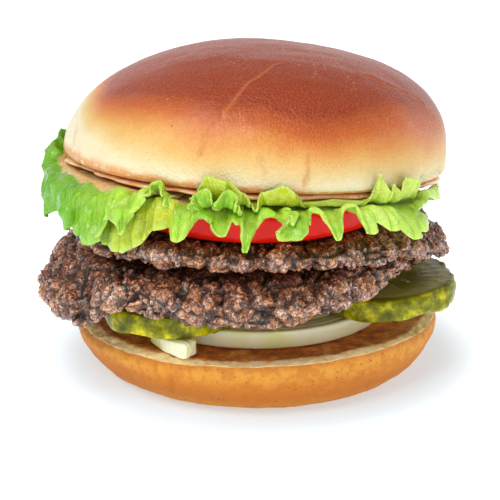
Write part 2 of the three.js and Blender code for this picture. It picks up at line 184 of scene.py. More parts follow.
def ringNormals(rows):
    roundWay = np.roll(rows, -1, 1) - np.roll(rows, 1, 1)
    upWay = np.gradient(rows, axis=0)
    normal = np.cross(roundWay, upWay)
    return normal / np.maximum(np.linalg.norm(normal, axis=-1, keepdims=True), 1e-9)


def raised(rows, relief):
    # the rings moved outwards by the relief
    return rows + ringNormals(rows) * relief[..., None]


def ringAngles(segments):
    return np.arange(segments) / segments * turn


def degreesAt(rows):
    # degrees from the front, positive to the right
    return np.degrees(np.arctan2(rows[..., 0], -rows[..., 1]))


def distanceToPath(points, path):
    # the distance from each point to a line through the path's points
    nearest = np.full(points.shape[:-1], 1e9)
    for start, end in zip(path[:-1], path[1:]):
        step = end - start
        share = np.clip(((points - start) @ step) / (step @ step), 0, 1)
        nearest = np.minimum(nearest, np.linalg.norm(points - start - share[..., None] * step, axis=-1))
    return nearest


def tilted(points, *degrees):
    # turned round X, Y and Z, in this order
    return points @ np.array(Euler([math.radians(d) for d in degrees]).to_matrix()).T


# Node trees

def addNode(tree, kind, inputs=None, **settings):
    made = tree.nodes.new(kind)
    for name, value in settings.items():
        setattr(made, name, value)
    for key, value in (inputs or {}).items():
        if isinstance(value, bpy.types.NodeSocket):
            tree.links.new(value, made.inputs[key])
        else:
            made.inputs[key].default_value = value
    return made


def maths(tree, operation, *values):
    return addNode(tree, "ShaderNodeMath", dict(enumerate(values)), operation=operation).outputs[0]


def plus(tree, total, *others):
    for value in others:
        total = maths(tree, "ADD", total, value)
    return total


def times(tree, product, *others):
    for value in others:
        product = maths(tree, "MULTIPLY", product, value)
    return product


def inverse(tree, value):
    return maths(tree, "SUBTRACT", 1.0, value)


def vectorMaths(tree, operation, first, second=None, scale=None):
    inputs = {0: first}
    if second is not None:
        inputs[1] = second
    if scale is not None:
        inputs["Scale"] = scale
    return addNode(tree, "ShaderNodeVectorMath", inputs, operation=operation).outputs[0]


def mapTo(tree, value, low, high, outLow=0.0, outHigh=1.0):
    inputs = {"Value": value, "From Min": low, "From Max": high, "To Min": outLow, "To Max": outHigh}
    return addNode(tree, "ShaderNodeMapRange", inputs, interpolation_type="SMOOTHSTEP").outputs[0]


def screenColour(shade):
    # a shade is a socket, or red, green and blue from 0 to 255 as a screen shows them
    if isinstance(shade, bpy.types.NodeSocket):
        return shade
    channels = [c / 255 for c in shade]
    return tuple(c / 12.92 if c <= 0.04045 else ((c + 0.055) / 1.055) ** 2.4 for c in channels) + (1.0,)


def mixColour(tree, factor, a, b):
    inputs = {0: factor, 6: screenColour(a), 7: screenColour(b)}
    return addNode(tree, "ShaderNodeMix", inputs, data_type="RGBA").outputs[2]


def layered(tree, body, layers):
    # lays shades over the body one after another, each where its mask is and as strongly as its number says
    for mask, strength, shade in layers:
        body = mixColour(tree, times(tree, mask, strength) if strength < 1 else mask, body, shade)
    return body


def ramp(tree, factor, stops):
    # each stop is its place and its red, green and blue
    node = addNode(tree, "ShaderNodeValToRGB", {0: factor})
    elements = node.color_ramp.elements
    between = [elements.new(stop[0]) for stop in stops[1:-1]]
    for element, (place, *shade) in zip([elements[0], *between, elements[-1]], stops):
        element.position = place
        element.color = screenColour(shade)
    return node.outputs[0]


def attribute(tree, name, output=2):
    return addNode(tree, "ShaderNodeAttribute", attribute_name=name).outputs[output]


def noise(tree, place, size, detail=2.0, roughness=0.5, distortion=0.0):
    # size is the width of a lump in millimetres
    inputs = {"Vector": place, "Scale": 1000 / size, "Detail": detail, "Roughness": roughness}
    return addNode(tree, "ShaderNodeTexNoise", inputs | {"Distortion": distortion}).outputs[0]


def cellEdges(tree, place, size):
    # how far each point is from the nearest border between uneven cells
    inputs = {"Vector": place, "Scale": 1000 / size}
    return addNode(tree, "ShaderNodeTexVoronoi", inputs, feature="DISTANCE_TO_EDGE").outputs["Distance"]


def newTree(name, kind, inputs, outputs):
    # a node group with (name, type, value) inputs and (name, type) outputs
    tree = bpy.data.node_groups.new(name, kind)
    for label, socketKind, value in inputs:
        socket = tree.interface.new_socket(label, in_out="INPUT", socket_type="NodeSocket" + socketKind)
        if value is not None:
            socket.default_value = value
    for label, socketKind in outputs:
        tree.interface.new_socket(label, in_out="OUTPUT", socket_type="NodeSocket" + socketKind)
    return tree, tree.nodes.new("NodeGroupInput").outputs, tree.nodes.new("NodeGroupOutput")


def newMaterial(name, roughness=0.5, coat=0.0, coatRoughness=0.2, specular=0.5,
                scatter=0.0, scatterSize=1.0, scatterColour=(1.0, 0.4, 0.2)):
    material = bpy.data.materials.new(name)
    material.use_nodes = True
    tree = material.node_tree
    shader = tree.nodes["Principled BSDF"]
    for socket, value in {
        "Roughness": roughness, "Coat Weight": coat, "Coat Roughness": coatRoughness,
        "Specular IOR Level": specular, "Subsurface Weight": scatter,
        "Subsurface Scale": scatterSize * millimetre, "Subsurface Radius": scatterColour,
    }.items():
        shader.inputs[socket].default_value = value
    return material, tree, shader


def objectPlace(tree):
    return addNode(tree, "ShaderNodeTexCoord").outputs["Object"]


def connect(tree, shader, **sockets):
    labels = {"base": "Base Color", "roughness": "Roughness", "normal": "Normal", "coat": "Coat Weight"}
    for name, value in sockets.items():
        tree.links.new(value, shader.inputs[labels[name]])


def bumpFrom(tree, height, distance):
    inputs = {"Height": height, "Distance": distance * millimetre, "Strength": 1.0}
    return addNode(tree, "ShaderNodeBump", inputs).outputs[0]


# Shared surface effects

def makeSpecks():
    # scattered round specks: a mask that is 1 inside a speck and 0 between them
    tree, given, result = newTree("scatteredSpecks", "ShaderNodeTree", [
        ("Place", "Vector", None), ("Spacing", "Float", 3.0), ("Size", "Float", 0.3),
        ("Share", "Float", 0.5),
    ], [("Mask", "Float")])
    scale = maths(tree, "DIVIDE", 1000.0, given["Spacing"])
    voronoi = addNode(tree, "ShaderNodeTexVoronoi", {"Vector": given["Place"], "Scale": scale})
    picked = addNode(tree, "ShaderNodeSeparateColor", {0: voronoi.outputs["Color"]})
    chosen = maths(tree, "LESS_THAN", picked.outputs[0], given["Share"])
    own = times(tree, given["Size"], plus(tree, 0.4, picked.outputs[1]))
    edge = maths(tree, "DIVIDE", own, given["Spacing"])
    inside = mapTo(tree, voronoi.outputs["Distance"], edge, times(tree, edge, 0.5))
    tree.links.new(times(tree, inside, chosen), result.inputs["Mask"])
    return tree


def makeGrain():
    # height of a fine uneven skin: lumps of one size with finer ones on them
    tree, given, result = newTree("skinGrain", "ShaderNodeTree", [
        ("Place", "Vector", None), ("Size", "Float", 2.0), ("Detail", "Float", 3.0),
    ], [("Height", "Float")])
    fine = addNode(tree, "ShaderNodeTexNoise", {
        "Vector": given["Place"], "Scale": maths(tree, "DIVIDE", 1000.0, given["Size"]),
        "Detail": given["Detail"], "Roughness": 0.6,
    })
    tree.links.new(fine.outputs[0], result.inputs["Height"])
    return tree


specks = makeSpecks()
grain = makeGrain()


def speckMask(tree, place, spacing, size, share):
    inputs = {"Place": place, "Spacing": spacing, "Size": size, "Share": share}
    return addNode(tree, "ShaderNodeGroup", inputs, node_tree=specks).outputs["Mask"]


def grainHeight(tree, place, size, detail):
    inputs = {"Place": place, "Size": size, "Detail": detail}
    return addNode(tree, "ShaderNodeGroup", inputs, node_tree=grain).outputs["Height"]


# Crown

crown = {
    "radius": 52.6, "height": 32.8, "rimHeight": 56.6, "tiltBack": 3.2, "tiltRight": 2.8,
    "dish": 5.0, "edgeHeight": 2.0, "segments": 400, "underRings": 12, "edgeRings": 10, "domeRings": 120,
    # how square the dome is at its left and at its right, across and upwards
    "squareness": {"across": (2.1, 2.12), "upwards": (1.78, 2.95)},
    # the crust turns brown from a height up; each rise is degrees from the front, spread and height
    "brownFrom": 7.4, "brownSpan": 13.5, "rises": [(60, 40, -1.0), (-84, 24, 8.2), (-42, 18, 2.4)],
    # painted reflections: places drawn paler where the lamps reflect off the glossy crust, each its degrees
    # from the front, spread, height, spread and strength
    "paintedReflections": [(-26, 30, 16, 6, 0.17), (52, 22, 19, 7, 0.2)],
    # each crease is a path of (degrees from the front, height), its depth and its width
    "creases": [
        ([(11.5, 29.4), (6.5, 28.9), (2.2, 27.6), (-1.5, 26.1), (-4.2, 25.2), (-8.0, 21.6), (-10.4, 18.6),
          (-11.2, 16.2), (-11.6, 13.4)], 0.34, 0.34),
        ([(-14.4, 13.2), (-14.6, 10.6), (-15.4, 8.3)], 0.5, 0.5),
        ([(13.9, 10.2), (13.8, 7.4), (13.2, 4.9), (12.6, 2.2)], 0.5, 0.42),
        ([(46.0, 27.0), (55.0, 24.4), (64.0, 20.8), (67.0, 17.4), (66.0, 14.6)], 0.36, 0.4),
        ([(0.8, 8.8), (1.4, 6.9), (2.2, 5.4)], 0.25, 0.6),
        ([(-68.0, 9.0), (-67.2, 6.8), (-66.0, 4.6)], 0.2, 0.5),
        ([(128.0, 24.0), (140.0, 18.0), (149.0, 13.0)], 0.3, 0.6),
        ([(-151.0, 12.4), (-153.0, 8.0)], 0.5, 0.6),
    ],
}
crownDishRadius = crown["radius"] - 3


def crownUnderside(radius):
    return crown["dish"] * np.maximum(0, 1 - (radius / crownDishRadius) ** 2)


def placeOnCrown(points):
    leaned = tilted(tilted(points, 0, crown["tiltRight"], 0), -crown["tiltBack"], 0, 0)
    return leaned + stackOffset + np.array([0, 0, crown["rimHeight"]])


def crownDome(angle, rise):
    wobble = 1 + 0.012 * lumps(polar(crown["radius"], angle, 0.0), 70)
    fullness = 0.5 + 0.5 * np.cos(angle)
    across, upwards = (2 / lerp(*crown["squareness"][way], fullness) for way in ("across", "upwards"))
    radius = crown["radius"] * wobble * np.maximum(0, np.cos(rise)) ** across
    share = np.maximum(0, np.sin(rise)) ** upwards
    return polar(radius, angle, crown["edgeHeight"] + (crown["height"] - crown["edgeHeight"]) * share)


def crownSpot(degrees, height):
    # the point of the dome at so many degrees from the front, positive to the right, and so high
    angle = math.radians(degrees - 90)
    rise = np.linspace(0, math.pi / 2, 300)
    dome = crownDome(np.full_like(rise, angle), rise)
    return np.array([np.interp(height, dome[:, 2], dome[:, k]) for k in range(3)])


def crownRows():
    angle = ringAngles(crown["segments"])
    under = crownDishRadius * np.linspace(0.02, 1, crown["underRings"])
    rows = [polar(r, angle, crownUnderside(r)) for r in under]
    rim = crownDome(angle, np.zeros_like(angle))
    rimRadius = np.hypot(rim[:, 0], rim[:, 1])
    for bend in np.linspace(0, math.pi / 2, crown["edgeRings"] + 1)[1:]:
        radius = crownDishRadius + (rimRadius - crownDishRadius) * math.sin(bend)
        rows.append(polar(radius, angle, crown["edgeHeight"] * (1 - math.cos(bend))))
    for rise in (np.linspace(0, 1, crown["domeRings"] + 1)[1:-1] ** 1.15) * math.pi / 2:
        rows.append(crownDome(angle, np.full_like(angle, rise)))
    return np.array(rows)


def makeCrown(material):
    rows = crownRows()
    y, z = rows[..., 1], rows[..., 2]
    degrees = degreesAt(rows)
    ring = np.arange(len(rows))[:, None] + 0 * z
    outside = smoothstep(ring, crown["underRings"] + 1, crown["underRings"] + crown["edgeRings"])
    relief = 0.28 * noiseAt(rows, 17) + 0.13 * noiseAt(rows, 7, 1) + 0.05 * noiseAt(rows, 2.6, 2)
    # a few long shallow puckers run over the top, and short ones run up from the lower edge
    relief += 0.12 * smoothstep(z, 20, 27) * noiseAt(rows * np.array([0.22, 1, 1]), 3.2, 3)
    pucker = noiseAt(np.stack([degrees * 0.9, 0 * z, z * 0.25], -1), 2.4, 4)
    relief += 0.16 * (1 - smoothstep(z, 2, 9)) * pucker
    creased = np.zeros_like(z)
    for path, depth, width in crown["creases"]:
        wavering = rows + 0.35 * noiseAt(rows, 2.2, 5)[..., None]
        away = distanceToPath(wavering, np.array([crownSpot(*p) for p in path]))
        relief -= depth * bump(away, 0, width)
        relief += 0.35 * depth * bump(away, 1.7 * width, width)
        creased = np.maximum(creased, bump(away, 0, width * 1.2) * min(1, depth * 2.2))
    # a bit of the edge is torn off at the right, and leaves pale ragged crumb
    torn = bump(degrees, 62, 9) * bump(z, 2.2, 2.6) * (y < 0)
    torn = smoothstep(torn + 0.35 * noiseAt(rows, 2.4, 6), 0.42, 0.62)
    relief -= torn * (0.5 + 0.45 * noiseAt(rows, 1.3, 7))
    rows = raised(rows, relief * outside)
    # where the crust turns from pale to brown: higher up at the left end, lower at the right
    edge = crown["brownFrom"] + 1.1 * noiseAt(rows, 15, 8) + 0.5 * noiseAt(rows, 5, 9)
    for middle, spread, rise in crown["rises"]:
        edge += rise * bump(degrees, middle, spread)
    span = crown["brownSpan"] - 6.0 * bump(degrees, -75, 30)
    brown = (z - edge) / span * 0.75 + 0.3
    # painted reflection: the crust is drawn paler, less browned, where the lamps reflect off it
    for middle, spread, height, tall, strength in crown["paintedReflections"]:
        brown -= strength * bump(degrees, middle, spread) * bump(z, height, tall)
    brown = np.clip(brown, 0, 1)
    reach = 2.6 + 2.2 * smoothstep(-degrees, 10, 70) + 1.3 * noiseAt(rows, 5, 11)
    stain = (1 - smoothstep(z, 0.5 * reach, reach)) * smoothstep(-degrees, -30, 10)
    stain = np.where(outside > 0.5, stain, 1)
    values = {"browning": brown, "creased": creased, "torn": torn * outside, "stained": stain}
    return makeBody("crown", rows, material, values, placeOnCrown)


def crownCrust():
    material, tree, shader = newMaterial("crownCrust", roughness=0.42, coat=0.3, coatRoughness=0.26,
                                         specular=0.35, scatter=0.12, scatterSize=2.0)
    place = objectPlace(tree)
    # the browning value also holds the painted reflections, which lower it where the lamps reflect
    browning = attribute(tree, "browning")
    broad = maths(tree, "SUBTRACT", noise(tree, place, 14, 4, 0.6), 0.5)
    fine = maths(tree, "SUBTRACT", noise(tree, place, 1.1, 3, 0.6), 0.5)
    level = plus(tree, browning, times(tree, broad, 0.22), times(tree, fine, 0.1))
    crust = ramp(tree, level, [
        (0.0, 245, 230, 190), (0.16, 240, 212, 150), (0.34, 236, 186, 106),
        (0.5, 226, 146, 66), (0.68, 202, 96, 28), (0.95, 158, 52, 2),
    ])
    pale = times(tree, speckMask(tree, place, 1.25, 0.3, 0.6), mapTo(tree, browning, 0.45, 0.8, 0, 0.8),
                 mapTo(tree, noise(tree, place, 16, 2), 0.42, 0.62, 0.1, 1.0))
    dark = speckMask(tree, place, 7.5, 0.42, 0.6)
    crease = mixColour(tree, browning, (206, 128, 66), (240, 150, 90))
    stain = times(tree, attribute(tree, "stained"), mapTo(tree, noise(tree, place, 2.2, 3), 0.25, 0.5))
    network = cellEdges(tree, place, 0.95)
    lines = times(tree, mapTo(tree, network, 0.12, 0.0), mapTo(tree, browning, 0.35, 0.6, 0.0, 0.12))
    crust = layered(tree, crust, [
        (pale, 1, (232, 148, 84)), (dark, 0.75, (104, 46, 20)), (attribute(tree, "creased"), 0.6, crease),
        (stain, 0.9, (240, 160, 86)), (attribute(tree, "torn"), 1, (232, 212, 160)),
        (lines, 1, (246, 178, 124)),
    ])
    skin = times(tree, mapTo(tree, network, 0.0, 0.25), 0.5)
    surface = plus(tree, grainHeight(tree, place, 0.9, 2.0), times(tree, dark, -0.8), skin)
    rough = mapTo(tree, browning, 0.1, 0.6, 0.58, 0.4)
    connect(tree, shader, base=crust, roughness=rough, normal=bumpFrom(tree, surface, 0.2))
    return material


crownPiece = makeCrown(crownCrust())
print("crown made")


# Heel

heel = {
    "height": 15.2, "bevelEdge": 48, "faceEdge": 45.5,
    "outline": [(40.4, 0), (44.6, 1.2), (48.1, 4.6), (50.3, 8.2), (51.2, 11.2), (50.6, 13.5)],
    # the rim rises at the front right, by so much and with its top so many degrees from the front
    "rimLift": 2, "liftTurn": 25, "toastEdge": (47.7, 48.9),
    # each notch is its degrees from the front, its height, its depth and its width in degrees
    "notches": [(-26.5, 10.5, 1.1, 0.9), (64.0, 12.5, 0.5, 0.8), (150.0, 11.0, 0.7, 1.1)],
    "segments": 420, "crustRings": 62, "bevelRings": 12, "faceRings": 36,
}


def splineAt(points, t):
    # an open smooth curve through the points, t from 0 to 1
    points = np.array(points, float)
    place = np.clip(t, 0, 1) * (len(points) - 1)
    i = np.minimum(np.floor(place).astype(int), len(points) - 2)
    w = (place - i)[..., None]
    a, b, c, d = (points[np.clip(i + k, 0, len(points) - 1)] for k in (-1, 0, 1, 2))
    return b + 0.5 * w * (c - a + w * (2 * a - 5 * b + 4 * c - d + w * (3 * (b - c) + d - a)))


def heelRows(ragged):
    # the rings from the middle of the base up to the middle of the toasted face, which of them are cut crumb,
    # how far the rim is lifted, and how high the edge of the face stands
    angle = ringAngles(heel["segments"])
    lift = heel["rimLift"] * (0.5 + 0.5 * np.cos(angle + math.radians(90 - heel["liftTurn"]))) ** 4
    edgeHeight = heel["height"] + 0.8 * np.maximum(0, lift - 1)
    rows = [polar(heel["outline"][0][0] * t, angle, 0.0) for t in (0.03, 0.3, 0.6, 0.85)]
    for t in np.linspace(0, 1, heel["crustRings"] + 1):
        radius, z = splineAt(heel["outline"], np.array(t))
        share = math.sin(math.pi * t) if 0 < t < 1 else 0
        radius = radius + 0.7 * share * lumps(polar(radius, angle, 0.0), 60)
        rows.append(polar(radius, angle, z + lift * t**2 + ragged * 0.3 * smoothstep(t, 0.9, 1)))
    rimRing = len(rows) - 1
    rim = rows[-1]
    for t in np.linspace(0, 1, heel["bevelRings"] + 1)[1:]:
        radius = lerp(np.hypot(rim[:, 0], rim[:, 1]), heel["bevelEdge"] + ragged, t)
        rows.append(polar(radius, angle, lerp(rim[:, 2], edgeHeight, t**0.8)))
    for t in np.linspace(1, 0.03, heel["faceRings"] + 1)[1:]:
        radius = (heel["bevelEdge"] + ragged * t**6) * t
        upwards = smoothstep(radius, heel["faceEdge"], heel["bevelEdge"])
        rows.append(polar(radius, angle, lerp(heel["height"], edgeHeight, upwards)))
    rows = np.array(rows)
    cut = (np.arange(len(rows)) >= rimRing)[:, None] + 0 * angle
    return rows, cut, lift, edgeHeight


def makeHeel(material):
    circle = polar(heel["bevelEdge"], ringAngles(heel["segments"]), 0.0)
    ragged = noiseAt(circle, 5.5, 21) * 0.7 + noiseAt(circle, 2.1, 22) * 0.35
    rows, cut, lift, edgeHeight = heelRows(ragged)
    x, y, z = np.moveaxis(rows, -1, 0)
    radius = np.hypot(x, y)
    relief = 0.22 * noiseAt(rows, 9, 23) + 0.14 * noiseAt(rows * np.array([1, 1, 1.8]), 3.4, 24)
    relief += 0.06 * noiseAt(rows, 1.4, 25)
    first, _, own = cellsAt(rows, 2.3, 26)
    pore = (1 - smoothstep(first, 0.04, 0.27)) * (own < 0.4)
    rough = smoothstep(radius, heel["bevelEdge"] - 1.5, heel["bevelEdge"] + 0.5) * cut
    crumb = noiseAt(rows, 1.5, 27) + 0.6 * noiseAt(rows, 0.8, 28)
    relief += 0.3 * rough * crumb - 0.32 * pore
    for middle, height, depth, width in heel["notches"]:
        across = (degreesAt(rows) - middle) * 0.9 + 0.5 * noiseAt(rows, 3, 29)
        relief -= depth * bump(across, 0, width) * bump(z, height, 5.0)
    face = (radius < heel["bevelEdge"] - 1) & (z > 15)
    sunk = np.abs(0.16 * noiseAt(rows, 2.2, 30) + 0.1 * noiseAt(rows, 0.9, 31)) + 0.25 * pore
    relief = np.where(face, -sunk, relief) * smoothstep(z, 0.1, 1.6)  # the base stays flat
    rows = raised(rows, relief)
    rows[..., 2] = np.clip(rows[..., 2], 0, edgeHeight + 0.25)
    toastStart, toastEnd = heel["toastEdge"]
    toast = (1 - smoothstep(radius, toastStart + 0.8 * ragged, toastEnd + 0.8 * ragged)) * (z > 14)
    return makeBody("heel", rows, material, {
        "toast": toast, "cut": cut, "pore": pore, "height": z,
        "nearCut": smoothstep(z - lift, 11.6, 13.3) * (1 - cut),
    })


def heelCrust():
    material, tree, shader = newMaterial("heelCrust", roughness=0.68, specular=0.35,
                                         scatter=0.1, scatterSize=2.0)
    place = objectPlace(tree)
    fine = noise(tree, place, 1.2, 4, 0.65)
    level = plus(tree, mapTo(tree, attribute(tree, "height"), 0.0, 13.5),
                 times(tree, noise(tree, place, 11, 4, 0.6), 0.5), times(tree, fine, 0.3), -0.4)
    crust = ramp(tree, level, [
        (0.0, 216, 140, 42), (0.3, 204, 116, 22), (0.7, 214, 126, 28), (1.0, 232, 158, 56),
    ])
    mottled = mapTo(tree, noise(tree, place, 3.2, 5, 0.7), 0.46, 0.58)
    dark = speckMask(tree, place, 1.5, 0.3, 0.5)
    nearCut = times(tree, attribute(tree, "nearCut"), mapTo(tree, fine, 0.35, 0.6, 0.3, 0.8))
    crumb = ramp(tree, noise(tree, place, 1.6, 4, 0.7), [
        (0.3, 226, 160, 80), (0.42, 252, 216, 148), (0.7, 255, 238, 192),
    ])
    burnt = ramp(tree, noise(tree, place, 4, 5, 0.7), [
        (0.3, 136, 58, 10), (0.46, 194, 102, 24), (0.6, 226, 144, 54), (0.75, 246, 188, 100),
    ])
    toast = times(tree, attribute(tree, "toast"), mapTo(tree, noise(tree, place, 1.8, 4, 0.7), 0.24, 0.4))
    crust = layered(tree, crust, [
        (mottled, 0.5, (202, 112, 30)), (dark, 0.55, (150, 74, 16)),
        (attribute(tree, "pore"), 0.35, (160, 90, 36)), (nearCut, 1, (196, 112, 36)),
        (attribute(tree, "cut"), 1, crumb), (toast, 1, burnt),
    ])
    surface = maths(tree, "SUBTRACT", grainHeight(tree, place, 0.8, 4.0), times(tree, dark, 0.5))
    connect(tree, shader, base=crust, normal=bumpFrom(tree, surface, 0.22))
    return material


heelPiece = makeHeel(heelCrust())
print("heel made")


# Sauce

sauce = {"radius": 49.7, "thickness": 1.2, "gap": 0.3, "segments": 480, "rings": 16, "wallRings": 6}


def sauceEdge(angle):
    return sauce["radius"] + 0.9 * np.sin(7 * angle + 0.6) * np.sin(3 * angle) + 0.4 * np.sin(17 * angle)


def makeSauce(material):
    angle = ringAngles(sauce["segments"])
    edge = sauceEdge(angle) + 0.25 * noiseAt(polar(49.0, angle, 0.0), 1.6, 41)
    # it creeps out in beads, most of all at the left
    degrees = (np.degrees(angle) + 270) % 360 - 180
    bead = np.clip(1.0 + 1.2 * noiseAt(polar(49.0, angle, 0.0), 5, 43), 0, 2.2)
    bead = bead * smoothstep(np.abs(degrees + 55), 85, 45) + 0.25
    rows = []
    shares = np.linspace(0.04, 1, sauce["rings"])
    half = sauce["thickness"] / 2
    for side, course in ((-half, shares), (half, shares[::-1])):
        for share in course:
            middle = crownUnderside(edge * share) - sauce["gap"] - half
            rows.append(polar(edge * share, angle, middle + side))
    for k in range(sauce["wallRings"]):
        bend = math.pi * (k + 1) / (sauce["wallRings"] + 1)
        middle = crownUnderside(edge) - sauce["gap"] - half
        swell = (half + bead) * math.sin(bend)
        rows.insert(sauce["rings"] + k, polar(edge + swell, angle, middle - half * math.cos(bend)))
    rows = np.array(rows)
    wave = 0.16 * noiseAt(rows, 3.1, 42) * smoothstep(np.hypot(rows[..., 0], rows[..., 1]), 44, 48)
    rows[..., 2] -= np.abs(wave)
    return makeBody("sauceLayer", rows, material, place=placeOnCrown)


def sauceFinish():
    material, tree, shader = newMaterial("sauceFinish", roughness=0.24, coat=0.4, coatRoughness=0.12,
                                         scatter=0.25, scatterSize=1.5)
    place = objectPlace(tree)
    body = ramp(tree, noise(tree, place, 4, 4, 0.6), [
        (0.25, 226, 130, 60), (0.42, 246, 184, 122), (0.7, 255, 222, 180),
    ])
    body = layered(tree, body, [(speckMask(tree, place, 1.6, 0.3, 0.35), 0.8, (190, 74, 18))])
    connect(tree, shader, base=body, normal=bumpFrom(tree, grainHeight(tree, place, 1.6, 3.0), 0.15))
    return material


saucePiece = makeSauce(sauceFinish())
print("sauce made")


# Geometry node trees

def named(tree, name):
    return addNode(tree, "GeometryNodeInputNamedAttribute", {"Name": name}, data_type="FLOAT").outputs[0]


def store(tree, geometry, name, value):
    inputs = {"Geometry": geometry, "Name": name, "Value": value}
    node = addNode(tree, "GeometryNodeStoreNamedAttribute", inputs, data_type="FLOAT", domain="POINT")
    return node.outputs[0]


def bake(piece, tree, inputs):
    # runs a node tree on a piece and keeps the result as its plain mesh
    modifier = piece.modifiers.new(tree.name, "NODES")
    modifier.node_group = tree
    for item in tree.interface.items_tree:
        if item.in_out == "INPUT" and item.name in inputs:
            modifier[item.identifier] = inputs[item.name]
    depsgraph = bpy.context.evaluated_depsgraph_get()
    finished = piece.evaluated_get(depsgraph)
    made = bpy.data.meshes.new_from_object(finished, preserve_all_data_layers=True, depsgraph=depsgraph)
    piece.modifiers.clear()
    made.name = piece.name
    piece.data = made
    return piece


def pushes(tree, place, scale, detail):
    # an uneven push in every direction, from -0.5 to 0.5
    wave = addNode(tree, "ShaderNodeTexNoise", {"Vector": place, "Scale": scale, "Detail": detail})
    return vectorMaths(tree, "SUBTRACT", wave.outputs["Color"], (0.5, 0.5, 0.5))


def makeCragTree():
    # ground beef: lobes parted by cracks, and on them creases between short strands, in two sizes
    tree, given, result = newTree("beefCrags", "GeometryNodeTree", [
        ("Geometry", "Geometry", None), ("Chunk size", "Float", 0.008), ("Chunk depth", "Float", 0.002),
        ("Fold size", "Float", 0.0026), ("Fold depth", "Float", 0.0012), ("Grain size", "Float", 0.001),
        ("Grain depth", "Float", 0.0004), ("Seed", "Float", 0.0), ("Material", "Material", None),
    ], [("Geometry", "Geometry")])
    place = addNode(tree, "GeometryNodeInputPosition").outputs[0]
    start = addNode(tree, "ShaderNodeCombineXYZ", {0: given["Seed"]}).outputs[0]
    place = vectorMaths(tree, "ADD", place, start)
    swirl = vectorMaths(tree, "SCALE", pushes(tree, place, 180.0, 2.0), scale=0.006)
    chunks = {"Vector": vectorMaths(tree, "ADD", place, swirl),
              "Scale": maths(tree, "DIVIDE", 1.0, given["Chunk size"])}
    near = addNode(tree, "ShaderNodeTexVoronoi", chunks, feature="SMOOTH_F1")
    edge = addNode(tree, "ShaderNodeTexVoronoi", chunks, feature="DISTANCE_TO_EDGE")
    crack = inverse(tree, mapTo(tree, edge.outputs[0], 0.0, 0.1))
    own = addNode(tree, "ShaderNodeSeparateXYZ", {0: near.outputs["Color"]}).outputs
    chunk = maths(tree, "SUBTRACT", 0.5, near.outputs["Distance"])
    chunk = plus(tree, chunk, times(tree, maths(tree, "SUBTRACT", own[1], 0.5), 0.5))
    chunk = maths(tree, "SUBTRACT", chunk, times(tree, crack, 0.55))
    depth = times(tree, chunk, given["Chunk depth"])
    pits = {}
    for label, detail in (("Fold", 0.6), ("Grain", 1.0)):
        wave = addNode(tree, "ShaderNodeTexNoise", {
            "Vector": chunks["Vector"], "Scale": maths(tree, "DIVIDE", 0.5, given[label + " size"]),
            "Detail": detail, "Distortion": 0.4,
        }).outputs[0]
        away = maths(tree, "ABSOLUTE", maths(tree, "SUBTRACT", wave, 0.5))
        strand = maths(tree, "POWER", mapTo(tree, away, 0.0, 0.13), 0.6)
        rise = maths(tree, "SUBTRACT", strand, 0.6)
        depth = plus(tree, depth, times(tree, rise, given[label + " depth"]))
        pits[label] = inverse(tree, strand)
    offset = times(tree, depth, named(tree, "craggy"))
    normal = addNode(tree, "GeometryNodeInputNormal").outputs[0]
    geometry = given["Geometry"]
    # the cracks and pits are kept for the finish, which paints shade into them
    kept = {"crack": crack, "foldPit": pits["Fold"], "grainPit": pits["Grain"], "tone": own[0]}
    for name, value in kept.items():
        geometry = store(tree, geometry, name, value)
    moved = addNode(tree, "GeometryNodeSetPosition", {
        "Geometry": geometry, "Offset": vectorMaths(tree, "SCALE", normal, scale=offset),
    }).outputs[0]
    solid = addNode(tree, "GeometryNodeRealizeInstances", {"Geometry": moved}).outputs[0]
    dressed = addNode(tree, "GeometryNodeSetMaterial", {"Geometry": solid, "Material": given["Material"]})
    tree.links.new(dressed.outputs[0], result.inputs[0])
    return tree


